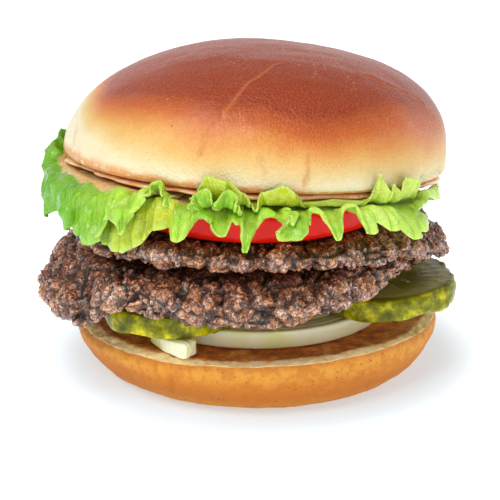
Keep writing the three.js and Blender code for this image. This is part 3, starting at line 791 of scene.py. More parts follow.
def makeBitsTree():
    # small uneven lumps scattered over a surface, where its own mask lets them
    tree, given, result = newTree("scatteredBits", "GeometryNodeTree", [
        ("Geometry", "Geometry", None), ("Density", "Float", 40000.0), ("Smallest", "Float", 0.0005),
        ("Largest", "Float", 0.0012), ("Flatness", "Float", 0.7), ("Roundness", "Int", 2),
        ("Seed", "Int", 1), ("Material", "Material", None),
    ], [("Geometry", "Geometry")])
    spread = addNode(tree, "GeometryNodeDistributePointsOnFaces", {
        "Mesh": given["Geometry"], "Density": times(tree, given["Density"], named(tree, "bits")),
        "Seed": given["Seed"],
    }, distribute_method="RANDOM")
    size, tone = (addNode(tree, "FunctionNodeRandomValue", {"Seed": seed}, data_type="FLOAT").outputs[1]
                  for seed in (3, 4))
    points = store(tree, spread.outputs["Points"], "tone", tone)
    width = addNode(tree, "ShaderNodeMapRange", {
        "Value": maths(tree, "POWER", size, 2.0), "To Min": given["Smallest"], "To Max": given["Largest"],
    }).outputs[0]
    flat = times(tree, width, given["Flatness"])
    lump = addNode(tree, "GeometryNodeMeshIcoSphere", {"Radius": 1.0, "Subdivisions": given["Roundness"]})
    most = {"Max": (0.7, 0.7, turn), "Seed": 9}
    spin = addNode(tree, "FunctionNodeRandomValue", most, data_type="FLOAT_VECTOR")
    facing = addNode(tree, "FunctionNodeRotateRotation", {
        "Rotation": spread.outputs["Rotation"],
        "Rotate By": addNode(tree, "FunctionNodeEulerToRotation", {0: spin.outputs[0]}).outputs[0],
    }, rotation_space="LOCAL").outputs[0]
    copies = addNode(tree, "GeometryNodeInstanceOnPoints", {
        "Points": points, "Instance": lump.outputs[0], "Rotation": facing,
        "Scale": addNode(tree, "ShaderNodeCombineXYZ", {0: width, 1: width, 2: flat}).outputs[0],
    }).outputs[0]
    solid = addNode(tree, "GeometryNodeRealizeInstances", {"Geometry": copies}).outputs[0]
    place = addNode(tree, "GeometryNodeInputPosition").outputs[0]
    reach = times(tree, given["Largest"], 0.7)
    push = vectorMaths(tree, "SCALE", pushes(tree, place, 900.0, 1.0), scale=reach)
    moved = addNode(tree, "GeometryNodeSetPosition", {"Geometry": solid, "Offset": push}).outputs[0]
    smooth = addNode(tree, "GeometryNodeSetShadeSmooth", {"Geometry": moved}).outputs[0]
    dressed = addNode(tree, "GeometryNodeSetMaterial", {"Geometry": smooth, "Material": given["Material"]})
    tree.links.new(dressed.outputs[0], result.inputs[0])
    return tree


cragTree = makeCragTree()
bitsTree = makeBitsTree()


bits = {"density": 0.03, "smallest": 0.35, "largest": 0.95, "flatness": 0.6, "roundness": 2}


def scatterBits(name, host, mask, material, seed):
    # a new piece of small lumps on the host's surface; mask is a number for each of the host's points
    mesh = host.data.copy()
    addValues(mesh, "FLOAT", "value", {"bits": mask})
    piece = linked(bpy.data.objects.new(name, mesh))
    bake(piece, bitsTree, {
        "Density": bits["density"] / millimetre**2, "Smallest": bits["smallest"] * millimetre,
        "Largest": bits["largest"] * millimetre, "Flatness": bits["flatness"],
        "Roundness": bits["roundness"], "Seed": seed, "Material": material,
    })
    bpy.data.meshes.remove(mesh)
    return piece


def valuesOf(piece, name):
    data = piece.data.attributes[name].data
    value = np.empty(len(data), np.float32)
    data.foreach_get("value", value)
    return value.astype(float)


# Patties

lowerPatty = {
    "base": 27.3, "slope": 0.012, "thickness": 11.8,
    "outline": [47.5, 50, 55, 55, 54, 49.5, 58.4, 61.2, 57.6, 57.3, 52.8, 48],
    # each sag is its middle and spread in degrees, its depth and the radius where it starts
    "sags": [(184, 31, 7.2, 50), (219, 11, 5.6, 50.5), (234, 6, -1.6, 48), (272, 24, 2.6, 50),
             (90, 60, 1.2, 50), (322, 30, -4.2, 34)],
    "edgeThickness": [5, 8, 10, 10, 10, 10, 10.5, 10.5, 10, 10, 8.6, 4.6], "seed": 0.31,
}
upperPatty = {
    "base": 39.8, "slope": 0.0, "thickness": 6.3,
    "outline": [52.4, 47.5, 50, 54, 53, 51, 50, 52.4, 54, 54.2, 53.6, 53.6],
    "sags": [(352, 33, 7.8, 43), (195, 34, 3, 41), (90, 70, 1, 41)],
    "edgeThickness": [4.4, 5, 6, 6, 6, 6.5, 8, 8, 6.4, 6.2, 6, 6], "seed": 0.77,
}
pattyMake = {"segments": 680, "spacing": 0.58, "squareness": 5, "Chunk size": 9.5, "Chunk depth": 2.2,
             "Fold size": 2.8, "Fold depth": 1.1, "Grain size": 1.0, "Grain depth": 0.52}


def sagAt(sags, angle, radius, edge):
    degrees = np.degrees(angle)
    total = 0
    for middle, spread, depth, start in sags:
        away = (degrees - middle + 180) % 360 - 180
        total = total + depth * bump(away, 0, spread) * smoothstep(radius, start, edge)
    return total


def pattyRises(thickness):
    # steps up the side, close together on the rim and further apart on the two faces
    rise = np.linspace(-math.pi / 2, math.pi / 2, 4001)[1:-1]
    share, height = squareCircle(rise, pattyMake["squareness"])
    step = np.hypot(np.diff(share * 56), np.diff(height * thickness / 2))
    step *= lerp(0.25, 1, smoothstep(share[1:], 0.66, 0.76))
    length = np.concatenate([[0], np.cumsum(step)])
    count = int(length[-1] / pattyMake["spacing"])
    return np.interp(np.linspace(0.01, 0.99, count) * length[-1], length, rise)


def makePatty(name, patty, material):
    angle = ringAngles(pattyMake["segments"])[None]
    rise = pattyRises(patty["thickness"])[:, None]
    edge = around(patty["outline"], angle)
    share, height = squareCircle(rise, pattyMake["squareness"])
    height = height + 0 * angle
    craggy = smoothstep(share, 0.72, 0.98) + 0 * angle
    flat = polar(edge * share, angle, height * patty["thickness"])
    crag = lumps(flat, 11) + 0.6 * lumps(flat, 6.2)
    radius = edge * share + 1.1 * craggy * crag
    sagged = sagAt(patty["sags"], angle, radius, edge)
    thickness = lerp(patty["thickness"], around(patty["edgeThickness"], angle), smoothstep(radius, 36, edge))
    base = patty["base"] + patty["slope"] * radius * np.cos(angle) - sagged
    rough = craggy * np.where(height > 0, 0.45, 0.3) * lumps(flat, 7)
    rows = polar(radius, angle, base + thickness * (0.5 + 0.5 * height) + rough)
    seared = smoothstep(height + 0.3 * lumps(flat, 14) + 0.2 * lumps(flat, 5), 0.25, 0.95)
    values = {"craggy": 0.1 + 0.9 * smoothstep(share, 0.74, 0.93), "seared": seared}
    piece = makeBody(name, rows, material, values, lambda points: points + stackOffset)
    sizes = {key: value * millimetre for key, value in pattyMake.items() if key[0].isupper()}
    return bake(piece, cragTree, sizes | {"Seed": patty["seed"], "Material": material})


def beefFinish():
    material, tree, shader = newMaterial("searedBeef", roughness=0.34, coat=0.4, coatRoughness=0.16,
                                         scatter=0.05, scatterSize=0.8)
    place = objectPlace(tree)
    fine = noise(tree, place, 1.0, 3, 0.75, 0.6)
    finer = noise(tree, place, 0.42, 2, 0.6, 0.3)
    broad = noise(tree, place, 5, 3, 0.6)
    grainy = plus(tree, times(tree, fine, 0.62), times(tree, finer, 0.38))
    tone = plus(tree, times(tree, attribute(tree, "tone"), 0.05), times(tree, broad, 0.16), grainy)
    # the lightest stops are painted highlights, flecks drawn pale as glints on the grain
    body = ramp(tree, tone, [
        (0.44, 40, 16, 10), (0.52, 98, 58, 46), (0.59, 152, 102, 84), (0.65, 208, 160, 136),
        (0.71, 255, 228, 208),
    ])
    warm = mapTo(tree, noise(tree, place, 2.4, 3, 0.6), 0.45, 0.57, 0.0, 0.8)
    warmth = mixColour(tree, mapTo(tree, grainy, 0.4, 0.6), (126, 56, 20), (252, 170, 102))
    seared = mapTo(tree, plus(tree, attribute(tree, "seared"), times(tree, broad, -0.8)), -0.2, 0.35)
    # the seared colour; its lightest stop is a painted highlight
    burnt = ramp(tree, grainy, [
        (0.4, 26, 7, 2), (0.48, 96, 36, 12), (0.54, 164, 84, 44), (0.61, 240, 186, 146),
    ])
    # painted shade: the pits between strands and the cracks between lobes are drawn near black
    pits = maths(tree, "MAXIMUM", mapTo(tree, attribute(tree, "foldPit"), 0.3, 0.95, 0.0, 0.85),
                 mapTo(tree, attribute(tree, "grainPit"), 0.4, 0.95, 0.0, 0.7))
    crack = mapTo(tree, attribute(tree, "crack"), 0.3, 1.0, 0.0, 0.9)
    body = layered(tree, body, [
        (warm, 1, warmth), (seared, 0.92, burnt), (pits, 1, (22, 8, 4)), (crack, 1, (12, 5, 3)),
    ])
    rough = mapTo(tree, noise(tree, place, 3.2, 3), 0.35, 0.65, 0.24, 0.5)
    wet = times(tree, mapTo(tree, noise(tree, place, 1.5, 3, 0.6), 0.42, 0.56), inverse(tree, pits))
    height = plus(tree, times(tree, fine, 0.7), times(tree, finer, 0.4))
    connect(tree, shader, base=body, roughness=rough, coat=wet, normal=bumpFrom(tree, height, 0.6))
    return material


beef = beefFinish()
lowerPiece = makePatty("pattyLower", lowerPatty, beef)
upperPiece = makePatty("pattyUpper", upperPatty, beef)
pattyBits = []
for name, host, seed in (("pattyLowerBits", lowerPiece, 4), ("pattyUpperBits", upperPiece, 8)):
    mask = smoothstep(valuesOf(host, "craggy"), 0.9, 1.0) * (1 - 0.6 * valuesOf(host, "crack"))
    pattyBits.append(scatterBits(name, host, mask, beef, seed))
print("patties made")


# Slices

def sliceRows(size, outline):
    # a slice with a rounded skin, from z 0 up to its thickness, and how far each point is on the skin
    angle = ringAngles(size["segments"])
    flat = 1 - size["bulge"]
    course = [(share * flat, -1.0, 0) for share in np.linspace(0.03, 1, size["faceRings"])]
    for t in np.linspace(-math.pi / 2, math.pi / 2, size["skinRings"] + 2)[1:-1]:
        width = flat + size["bulge"] * math.cos(t) ** 0.45
        course.append((width, math.copysign(abs(math.sin(t)) ** 0.6, t), 1))
    course += [(share * flat, 1.0, 0) for share in np.linspace(1, 0.03, size["faceRings"])]
    widths, ups, onSkin = np.array(course).T[..., None]
    rows = polar(outline(angle) * widths, angle, size["thickness"] / 2 * (1 + ups))
    return rows, onSkin + 0 * angle


def placeSlice(position, rotation=(0, 0, 0)):
    return lambda points: tilted(points, *rotation) + np.array(position) + stackOffset


tomato = {
    "radius": 34.4, "thickness": 7.0, "bulge": 0.035, "centre": (0, -15, 46.6),
    "segments": 360, "faceRings": 40, "skinRings": 26,
}


def makeTomato(material):
    def outline(a):
        return tomato["radius"] * (1 + 0.008 * np.cos(5 * a + 1))

    rows, skin = sliceRows(tomato, outline)
    x, y = rows[..., 0], rows[..., 1]
    radius = np.hypot(x, y) / tomato["radius"]
    angle = np.arctan2(y, x)
    # six chambers of wet seeds lie between a firm core, the walls and the outer flesh
    wall = np.abs(np.sin(3 * angle + 0.5 * np.sin(2 * angle)))
    chamber = smoothstep(wall, 0.2, 0.42) * smoothstep(radius, 0.26, 0.36)
    chamber = chamber * (1 - smoothstep(radius, 0.72, 0.82)) * (1 - skin)
    first, _, own = cellsAt(rows, 4.2, 51)
    seed = (1 - smoothstep(first, 0.2, 0.36)) * (own < 0.75) * smoothstep(chamber, 0.6, 0.9)
    relief = -0.5 * chamber + 0.45 * seed + 0.07 * noiseAt(rows, 2.0, 52) * (1 - skin)
    relief = relief + skin * 0.06 * noiseAt(rows, 9, 53)
    values = {"skin": skin, "chamber": chamber, "seed": seed, "outward": radius}
    return makeBody("tomatoSlice", raised(rows, relief), material, values, placeSlice(tomato["centre"]))


def tomatoFinish():
    material, tree, shader = newMaterial("ripeTomato", roughness=0.22, coat=0.12, coatRoughness=0.05,
                                         specular=0.15, scatter=0.1, scatterSize=2.0)
    place = objectPlace(tree)
    skin = attribute(tree, "skin")
    outer = mixColour(tree, noise(tree, place, 8, 3, 0.6), (255, 16, 8), (255, 40, 16))
    flesh = mixColour(tree, noise(tree, place, 2.2, 4, 0.6), (214, 52, 30), (236, 96, 58))
    body = layered(tree, flesh, [
        (mapTo(tree, attribute(tree, "outward"), 0.9, 0.96), 1, (204, 30, 16)),
        (attribute(tree, "chamber"), 1, (206, 58, 16)), (attribute(tree, "seed"), 1, (230, 190, 110)),
        (skin, 1, outer),
    ])
    height = times(tree, grainHeight(tree, place, 1.4, 2.0), mapTo(tree, skin, 0.0, 1.0, 1.0, 0.12))
    connect(tree, shader, base=body, normal=bumpFrom(tree, height, 0.2))
    return material


tomatoPiece = makeTomato(tomatoFinish())

onion = {
    "radius": 37.0, "thickness": 4.6, "position": (0, -3, heel["height"] + 0.3), "layer": 4.3,
    "bulge": 0.02, "segments": 420, "faceRings": 90, "skinRings": 12,
}
pickleBed = onion["position"][2] + onion["thickness"] + 0.3
pickles = {
    "thickness": 5.8, "bulge": 0.07, "segments": 320, "faceRings": 34, "skinRings": 30,
    # name, node, radius, turn of its lobes, place and rotation in degrees
    "slices": [
        ("pickleLeft", "pickle_left", 17.6, 0.6, (-21.6, -28.2, pickleBed + 0.1), (1.4, 0, 0)),
        ("pickleBack", "pickle_back", 17.0, 4.1, (6, 26, pickleBed + 0.2), (0, 0, 0)),
        ("pickleRight", "pickle_right", 20.8, 2.2, (34.3, -15.2, pickleBed + 1.1), (0, -2.7, 0)),
    ],
}


def makePickle(name, radius, phase, position, rotation, material, seed):
    def outline(a):
        return radius * (1 + 0.035 * np.cos(5 * a + phase) + 0.03 * np.cos(3 * a + 2 * phase))

    rows, skin = sliceRows(pickles, outline)
    x, y = rows[..., 0], rows[..., 1]
    share = np.hypot(x, y) / radius
    angle = np.arctan2(y, x)
    first, _, own = cellsAt(rows, 3.4, seed)
    wart = (1 - smoothstep(first, 0.1, 0.55)) * (own > 0.35)
    relief = 0.42 * wart + 0.3 * noiseAt(rows, 4.6, seed + 5) + 0.1 * noiseAt(rows, 1.5, seed + 6)
    relief = skin * relief
    # the cut faces sink a little inside the skin, with three seed beds round the middle
    bed = smoothstep(np.abs(np.sin(1.5 * angle + phase)), 0.25, 0.5) * bump(share, 0.42, 0.2) * (1 - skin)
    cell, _, mine = cellsAt(rows * np.array([1, 1, 0.2]), 2.6, seed + 7)
    seeds = (1 - smoothstep(cell, 0.16, 0.34)) * (mine > 0.3) * smoothstep(bed, 0.4, 0.7)
    face = 1 - skin
    relief = relief + face * (-0.22 * smoothstep(share, 0.95, 0.7) - 0.25 * bed + 0.3 * seeds)
    relief = relief + face * 0.07 * noiseAt(rows, 1.8, seed + 8)
    values = {"skin": skin, "wart": wart, "bed": bed, "seed": seeds, "outward": share}
    return makeBody(name, raised(rows, relief), material, values, placeSlice(position, rotation))


def pickleFinish():
    material, tree, shader = newMaterial("sourPickle", roughness=0.28, coat=0.12, coatRoughness=0.06,
                                         specular=0.16, scatter=0.08, scatterSize=2.0,
                                         scatterColour=(0.8, 0.7, 0.15))
    place = objectPlace(tree)
    outer = ramp(tree, noise(tree, place, 4.5, 4, 0.65), [
        (0.36, 86, 88, 2), (0.5, 134, 132, 2), (0.6, 192, 182, 4), (0.72, 240, 222, 20),
    ])
    outer = layered(tree, outer, [
        (speckMask(tree, place, 1.3, 0.26, 0.5), 0.7, (190, 192, 30)),
        (attribute(tree, "wart"), 0.35, (150, 156, 34)),
    ])
    flesh = mixColour(tree, noise(tree, place, 2.4, 4, 0.6), (148, 144, 46), (194, 186, 102))
    body = layered(tree, flesh, [
        (attribute(tree, "bed"), 1, (140, 138, 36)), (attribute(tree, "seed"), 1, (214, 206, 150)),
        (mapTo(tree, attribute(tree, "outward"), 0.84, 0.93), 1, (112, 110, 12)),
        (attribute(tree, "skin"), 1, outer),
    ])
    connect(tree, shader, base=body, normal=bumpFrom(tree, grainHeight(tree, place, 1.2, 3.0), 0.18))
    return material


pickleMaterial = pickleFinish()
picklePieces = []
for k, (name, node, radius, phase, position, rotation) in enumerate(pickles["slices"]):
    picklePieces.append(makePickle(name, radius, phase, position, rotation, pickleMaterial, 60 + 10 * k))


def makeOnion(material):
    def outline(a):
        return onion["radius"] * (1 + 0.012 * np.cos(2 * a + 2.4))

    rows, skin = sliceRows(onion, outline)
    x, y = rows[..., 0], rows[..., 1]
    angle = np.arctan2(y, x)
    radius = np.hypot(x, y) * onion["radius"] / outline(angle)
    drift = 0.5 * np.sin(2 * angle + 1) + 0.35 * noiseAt(rows, 14, 81)
    layer = (radius + drift * smoothstep(radius, 4, 14)) / onion["layer"]
    place = layer - np.floor(layer)
    groove = bump(place, 0.0, 0.09) + bump(place, 1.0, 0.09)
    own = np.sin(np.floor(layer) * 2.4)
    face = (1 - skin) * smoothstep(radius, 2, 5)
    relief = face * (-0.75 * groove + 0.12 * own + 0.25 * (place - 0.5) ** 2) + 0.05 * noiseAt(rows, 3, 82)
    values = {"groove": groove * face}
    return makeBody("onionSlice", raised(rows, relief), material, values, placeSlice(onion["position"]))


def onionFinish():
    material, tree, shader = newMaterial("rawOnion", roughness=0.25, coat=0.35, coatRoughness=0.12,
                                         scatter=0.4, scatterSize=3.0, scatterColour=(0.9, 0.8, 0.5))
    place = objectPlace(tree)
    streak = addNode(tree, "ShaderNodeMapping", {"Vector": place, "Scale": (1.0, 1.0, 0.25)}).outputs[0]
    body = mixColour(tree, noise(tree, streak, 1.6, 4, 0.6), (252, 238, 178), (255, 254, 222))
    body = layered(tree, body, [
        (mapTo(tree, noise(tree, place, 12, 3), 0.4, 0.7), 1, (242, 240, 160)),
        (attribute(tree, "groove"), 0.6, (158, 140, 92)),
    ])
    connect(tree, shader, base=body, normal=bumpFrom(tree, noise(tree, streak, 0.7, 3, 0.6), 0.12))
    return material


onionMaterial = onionFinish()
onionPiece = makeOnion(onionMaterial)

onionChunk = {
    "outer": 30.0, "wall": 5.0, "spread": 32.0, "height": 5.0, "squareness": 7, "bevel": 0.5,
    "tapers": (0.6, 0.92),
    "position": (-23.6, -42.2, heel["height"] + 0.3), "turn": -143.0, "along": 70, "across": 120,
}


def makeOnionChunk(material):
    # a rounded square section swept along a short arc, closed by pulling its ends in
    half = math.radians(onionChunk["spread"]) / 2
    rows = []
    steps = np.linspace(-1, 1, onionChunk["along"])
    corner = ringAngles(onionChunk["across"])
    wide, high = onionChunk["wall"] / 2, onionChunk["height"] / 2
    across, up = squareCircle(corner, onionChunk["squareness"]) * np.array([[wide], [high]])
    bevelShare = onionChunk["bevel"] / (onionChunk["outer"] * math.sin(half))
    pulls = (0.05, 0.35, 0.65, 0.86)
    course = [(pull, -1) for pull in pulls] + [(1, t) for t in steps] + [(pull, 1) for pull in pulls[::-1]]
    for pull, t in course:
        ease = 1 - (onionChunk["bevel"] / wide) * smoothstep(abs(t), 1 - 2 * bevelShare, 1)
        middle = onionChunk["outer"] - wide
        taper = lerp(*onionChunk["tapers"], 0.5 + t / 2)
        swing = half * t
        radius = middle + across * pull * ease
        z = (high + up * pull * ease) * taper
        rows.append(polar(radius, swing, z) - np.array([onionChunk["outer"], 0, 0]))
    rows = np.array(rows)
    share = (across / wide)[None]
    layers = bump(share, -0.15, 0.07) + bump(share, 0.55, 0.05) + 0 * rows[..., 0]
    relief = 0.14 * noiseAt(rows, 3.2, 91) - 0.3 * layers * (np.abs(up / high)[None] > 0.9)
    rows = raised(rows, relief)
    rows[..., 2] = np.maximum(rows[..., 2], 0)
    place = placeSlice(onionChunk["position"], (0, 0, onionChunk["turn"]))
    return makeBody("onionPiece", rows, material, {"groove": layers * 0.7}, place)


chunkPiece = makeOnionChunk(onionMaterial)
print("slices made")


# Lettuce

crownPlaneTilts = (math.tan(math.radians(crown["tiltRight"])), math.tan(math.radians(crown["tiltBack"])))


def crownPlane(x, y):
    return crown["rimHeight"] - crownPlaneTilts[0] * x - crownPlaneTilts[1] * y


def randomEdge(start, end, step, seed):
    # an edge that goes up and down in uneven folds
    rows = [(start, 5, 2, 0)]
    n = seed
    for k in range(1, int((end - start) / step)):
        degrees = start + step * (k + 0.5 * fraction(n) - 0.25)
        grown = min(1, (degrees - start) / 24)
        hangs = k % 2
        drop = lerp(8, 12, fraction(n + 1)) if hangs else lerp(2.5, 5, fraction(n + 1))
        out = lerp(6.5, 9, fraction(n + 2)) if hangs else lerp(4, 5.5, fraction(n + 2))
        rows.append((degrees, drop, lerp(1.5, out, grown), 0.3 * hangs))
        n += 3
    return rows + [(end, 5, 2, 0)]


# A leaf's edge goes through rows of (degrees from the front, drop below the crown's rim, distance out past
# the leaf's bend, width in degrees of the fold there).
leaves = {
    "lettuceFront": {
        "node": "lettuce_front", "columns": 760,
        "below": 3.9, "inner": 9, "start": 50, "lift": 2.4, "crest": 1.2,
        "dips": [(-44, 12, 3.1), (-9.6, 8.2, 4.8), (5, 6, 2), (19.5, 9, 3.4), (44, 9, 2.6)],
        "edge": [
            (-50, 9, 2, 2), (-44.5, 13, 6, 2), (-39.5, 15.6, 7.2, 2.5), (-34.2, 16, 8.4, 3),
            (-30.5, 14.4, 8, 1.5), (-27.6, 12.2, 7.6, 1), (-25.6, 9.6, 6.8, 1), (-21.8, 8.6, 6, 1),
            (-18.2, 11, 9.2, 2.2), (-13.4, 5.6, 4.2, 4), (-7.6, 8.2, 10, 1.8), (-5.6, 5.2, 7.5, 1),
            (-4, 6, 6.5, 1.2), (-2.4, 11.8, 10.5, 1.5), (3.6, 4.4, 5, 5), (7.8, 5.4, 8.8, 1.6),
            (9.3, 3, 6.5, 1), (4.8, 6.2, 11.5, 1), (7.4, 8.4, 11, 5), (12.2, 5.5, 8, 0.5),
            (14.8, 2.9, 4.8, 3.6), (19, 9.2, 9.2, 2.2), (24.2, 2, 4.6, 4.5), (28, 8.2, 8.5, 2.4),
            (30.8, 5.8, 6.5, 1.5), (34.4, 8, 8, 2.2), (36.8, 7.2, 7.5, 1), (40.6, 10.6, 9, 3),
            (45, 9.6, 8.3, 2), (48.8, 8.2, 6.6, 1.6), (43.6, 5, 7.2, 1.5), (47.6, 3.4, 6, 1),
            (51.5, 1.8, 5.8, 1), (58, 4, 3, 2), (66, 5, 1.5, 1),
        ],
        "crumple": 0.35, "sauced": 0.7, "yellowUpTo": -21, "seed": 101,
    },
    "lettuceLeft": {
        "node": "lettuce_left", "columns": 760,
        "below": 2.75, "inner": 14, "start": 50, "lift": 1.5, "crest": 0.4,
        "edge": [
            (-146, 5, 3, 2), (-137, 9, 6, 3), (-129, 3.5, 5, 3), (-120, 9.5, 7, 3), (-111, 2.5, 6, 3),
            (-104, -4, 4, 3), (-96, -5, 4.5, 3), (-88, 1, 7.6, 2), (-80, 11, 8, 2),
            (-72.5, 15.2, 8.2, 1.6), (-66, 12, 7.2, 1.6), (-61.5, 11, 7.2, 1.4), (-57, 12.2, 8, 1.2),
            (-54, 14.4, 8.8, 1.2), (-51.8, 12, 7.6, 0.8), (-47.5, 14.4, 9, 1.6), (-42.5, 15.4, 9.4, 1.4),
            (-39.4, 13.6, 9.2, 1), (-37.2, 8, 9.2, 1), (-35.6, 7.4, 9.6, 0.8), (-32, 10.8, 10.6, 1.6),
            (-29.4, 5.6, 9, 1), (-27.2, 1.6, 7.4, 1), (-25.8, -1.6, 5.2, 2.4), (-23.4, 1.5, 5.4, 0.6),
            (-22.4, 3.6, 5.6, 0.6),
        ],
        "crumple": 1.1, "sauced": 1, "yellowUpTo": -200, "seed": 102,
    },
    "lettuceBack": {
        "node": "lettuce_back", "columns": 620,
        "below": 3.9, "inner": 9, "start": 50, "lift": 1.5, "crest": 0.5,
        "edge": randomEdge(96, 211, 7.5, 41),
        "crumple": 0.6, "sauced": 0.3, "yellowUpTo": -200, "seed": 103,
    },
    "lettuceCurl": {
        "node": "lettuce_curl", "columns": 320,
        "below": 2.9, "inner": 42, "start": 50, "lift": -0.9, "crest": 0,
        "isEven": True,
        "edge": [
            (-15.6, 2.2, 8.8, 0.4), (-14.8, 1, 8.6, 0.4), (-14.6, -0.6, 6.4, 0.4), (-12.2, -1.7, 5, 1.6),
            (-9.7, 0.8, 8.4, 1), (-6.8, -1.9, 5, 1.8), (-4.3, -0.8, 6.4, 0.4), (-4.3, 0.8, 8.4, 0.4),
            (-3.5, 2.2, 9, 0.4),
        ],
        "crumple": 0.1, "sauced": 0, "yellowUpTo": -200, "seed": 104,
    },
    "lettuceTop": {
        "node": "lettuce_top", "columns": 480,
        "below": 2.1, "inner": 36, "start": 50.4, "lift": -0.6, "crest": 0,
        "edge": [
            (-17, 1.6, 2.6, 1), (-15.1, 0.6, 3, 0.5), (-12.5, -4.6, 3.9, 1.2), (-7.1, -3.9, 3.9, 1.5),
            (-3.2, -1, 3.4, 1), (-1.2, 1.4, 3.4, 0.5), (-0.2, 3, 4.4, 0.4), (1.5, -1.5, 3.9, 1),
            (6.9, -3.1, 3.9, 2), (10.2, -1, 3.2, 1), (12, 1.6, 0.8, 0.5), (22, 1.2, 0.2, 4),
            (30.8, 1.6, 0.8, 1), (33.4, -5.6, 4.6, 0.4), (36, -1, 4, 1), (38.2, -2.6, 4.2, 1),
            (40, -0.5, 3.8, 0.6), (42.4, -4, 4.4, 1), (46.1, -3.4, 4.2, 1.4), (48, -2.6, 3.6, 0.6),
            (49.6, 0.6, 2, 0.6),
        ],
        "crumple": 0.25, "sauced": 0, "yellowUpTo": 200, "seed": 105,
    },
}
# curl is how much further out than its tip a fold's shoulders stand
leafMake = {"thickness": 0.6, "curl": 1.3, "innerRings": 11, "outerRings": 52, "calmings": 22}


def edgeKnots(rows):
    # three knots at each fold: its end, and a shoulder that curls a little further out at each side of it
    knots = []
    for k, (degrees, drop, out, width) in enumerate(rows):
        before, after = rows[max(k - 1, 0)], rows[min(k + 1, len(rows) - 1)]
        way = 1 if after[0] > before[0] else -1
        for side, other in ((-1, before), (0, rows[k]), (1, after)):
            curl = leafMake["curl"] if side and drop > other[1] else 0
            place = degrees + way * side * width / 2
            knots.append((place, lerp(drop, other[1], 0.16), lerp(out, other[2], 0.2) + curl))
    return np.array(knots, float)


def calmed(knots, isEven):
    # the edge's course without its folds, which never turns back on itself
    knots = knots.copy()
    knots[:, 0] = np.sort(knots[:, 0])
    if isEven:
        knots[:, 0] = np.linspace(knots[0, 0], knots[-1, 0], len(knots))
    for _ in range(leafMake["calmings"]):
        knots[1:-1] = (knots[:-2] + 2 * knots[1:-1] + knots[2:]) / 4
    return knots


def leafSurface(leaf, s, v):
    # s runs along the edge; v is 0 at the middle, 1 at the crown's rim and 2 at the edge
    knots = edgeKnots(leaf["edge"])
    edge = np.moveaxis(splineAt(knots, s), -1, 0)
    mean = np.moveaxis(splineAt(calmed(knots, "isEven" in leaf), s), -1, 0)
    under = np.minimum(v, 1)
    out = np.maximum(v - 1, 0)
    degrees = lerp(mean[0], edge[0], out**1.4)
    drop = leaf["below"] + (mean[1] - leaf["below"]) * out**1.8 + (edge[1] - mean[1]) * out**1.4
    hang = edge[1] - mean[1]
    lift = leaf["lift"] + leaf["crest"] * (1 - smoothstep(hang, -3, 0))
    for middle, spread, depth in leaf.get("dips", []):
        lift = lift - depth * bump(degrees, middle, spread)
    drop = drop - lift * np.sin(math.pi * out)
    outward = mean[2] * (1 - (1 - out) ** 1.8) + (edge[2] - mean[2]) * out**1.5
    radius = lerp(leaf["inner"], leaf["start"], under) + outward
    angle = np.radians(degrees)
    flat = np.minimum(radius, leaf["start"])
    bed = crownPlane(flat * np.sin(angle), -flat * np.cos(angle)) + crownUnderside(flat)
    return np.stack([radius * np.sin(angle), -radius * np.cos(angle), bed - drop], -1), degrees, hang


def surfaceNormals(points):
    normal = np.cross(np.gradient(points, axis=0), np.gradient(points, axis=1))
    return normal / np.maximum(np.linalg.norm(normal, axis=-1, keepdims=True), 1e-9)


def sheetFaces(rows, cols):
    # faces of a closed sheet: its upper points row by row, then its lower ones
    count = rows * cols
    start = (np.arange(rows - 1)[:, None] * cols + np.arange(cols - 1)).ravel()
    top = np.stack([start, start + cols, start + cols + 1, start + 1], -1)
    rim = np.concatenate([
        np.arange(cols - 1), np.arange(rows - 1) * cols + cols - 1,
        (rows - 1) * cols + np.arange(cols - 1, 0, -1), np.arange(rows - 1, 0, -1) * cols,
    ])
    following = np.roll(rim, -1)
    wall = np.stack([rim, following, following + count, rim + count], -1)
    return np.concatenate([top, top[:, ::-1] + count, wall]).tolist()


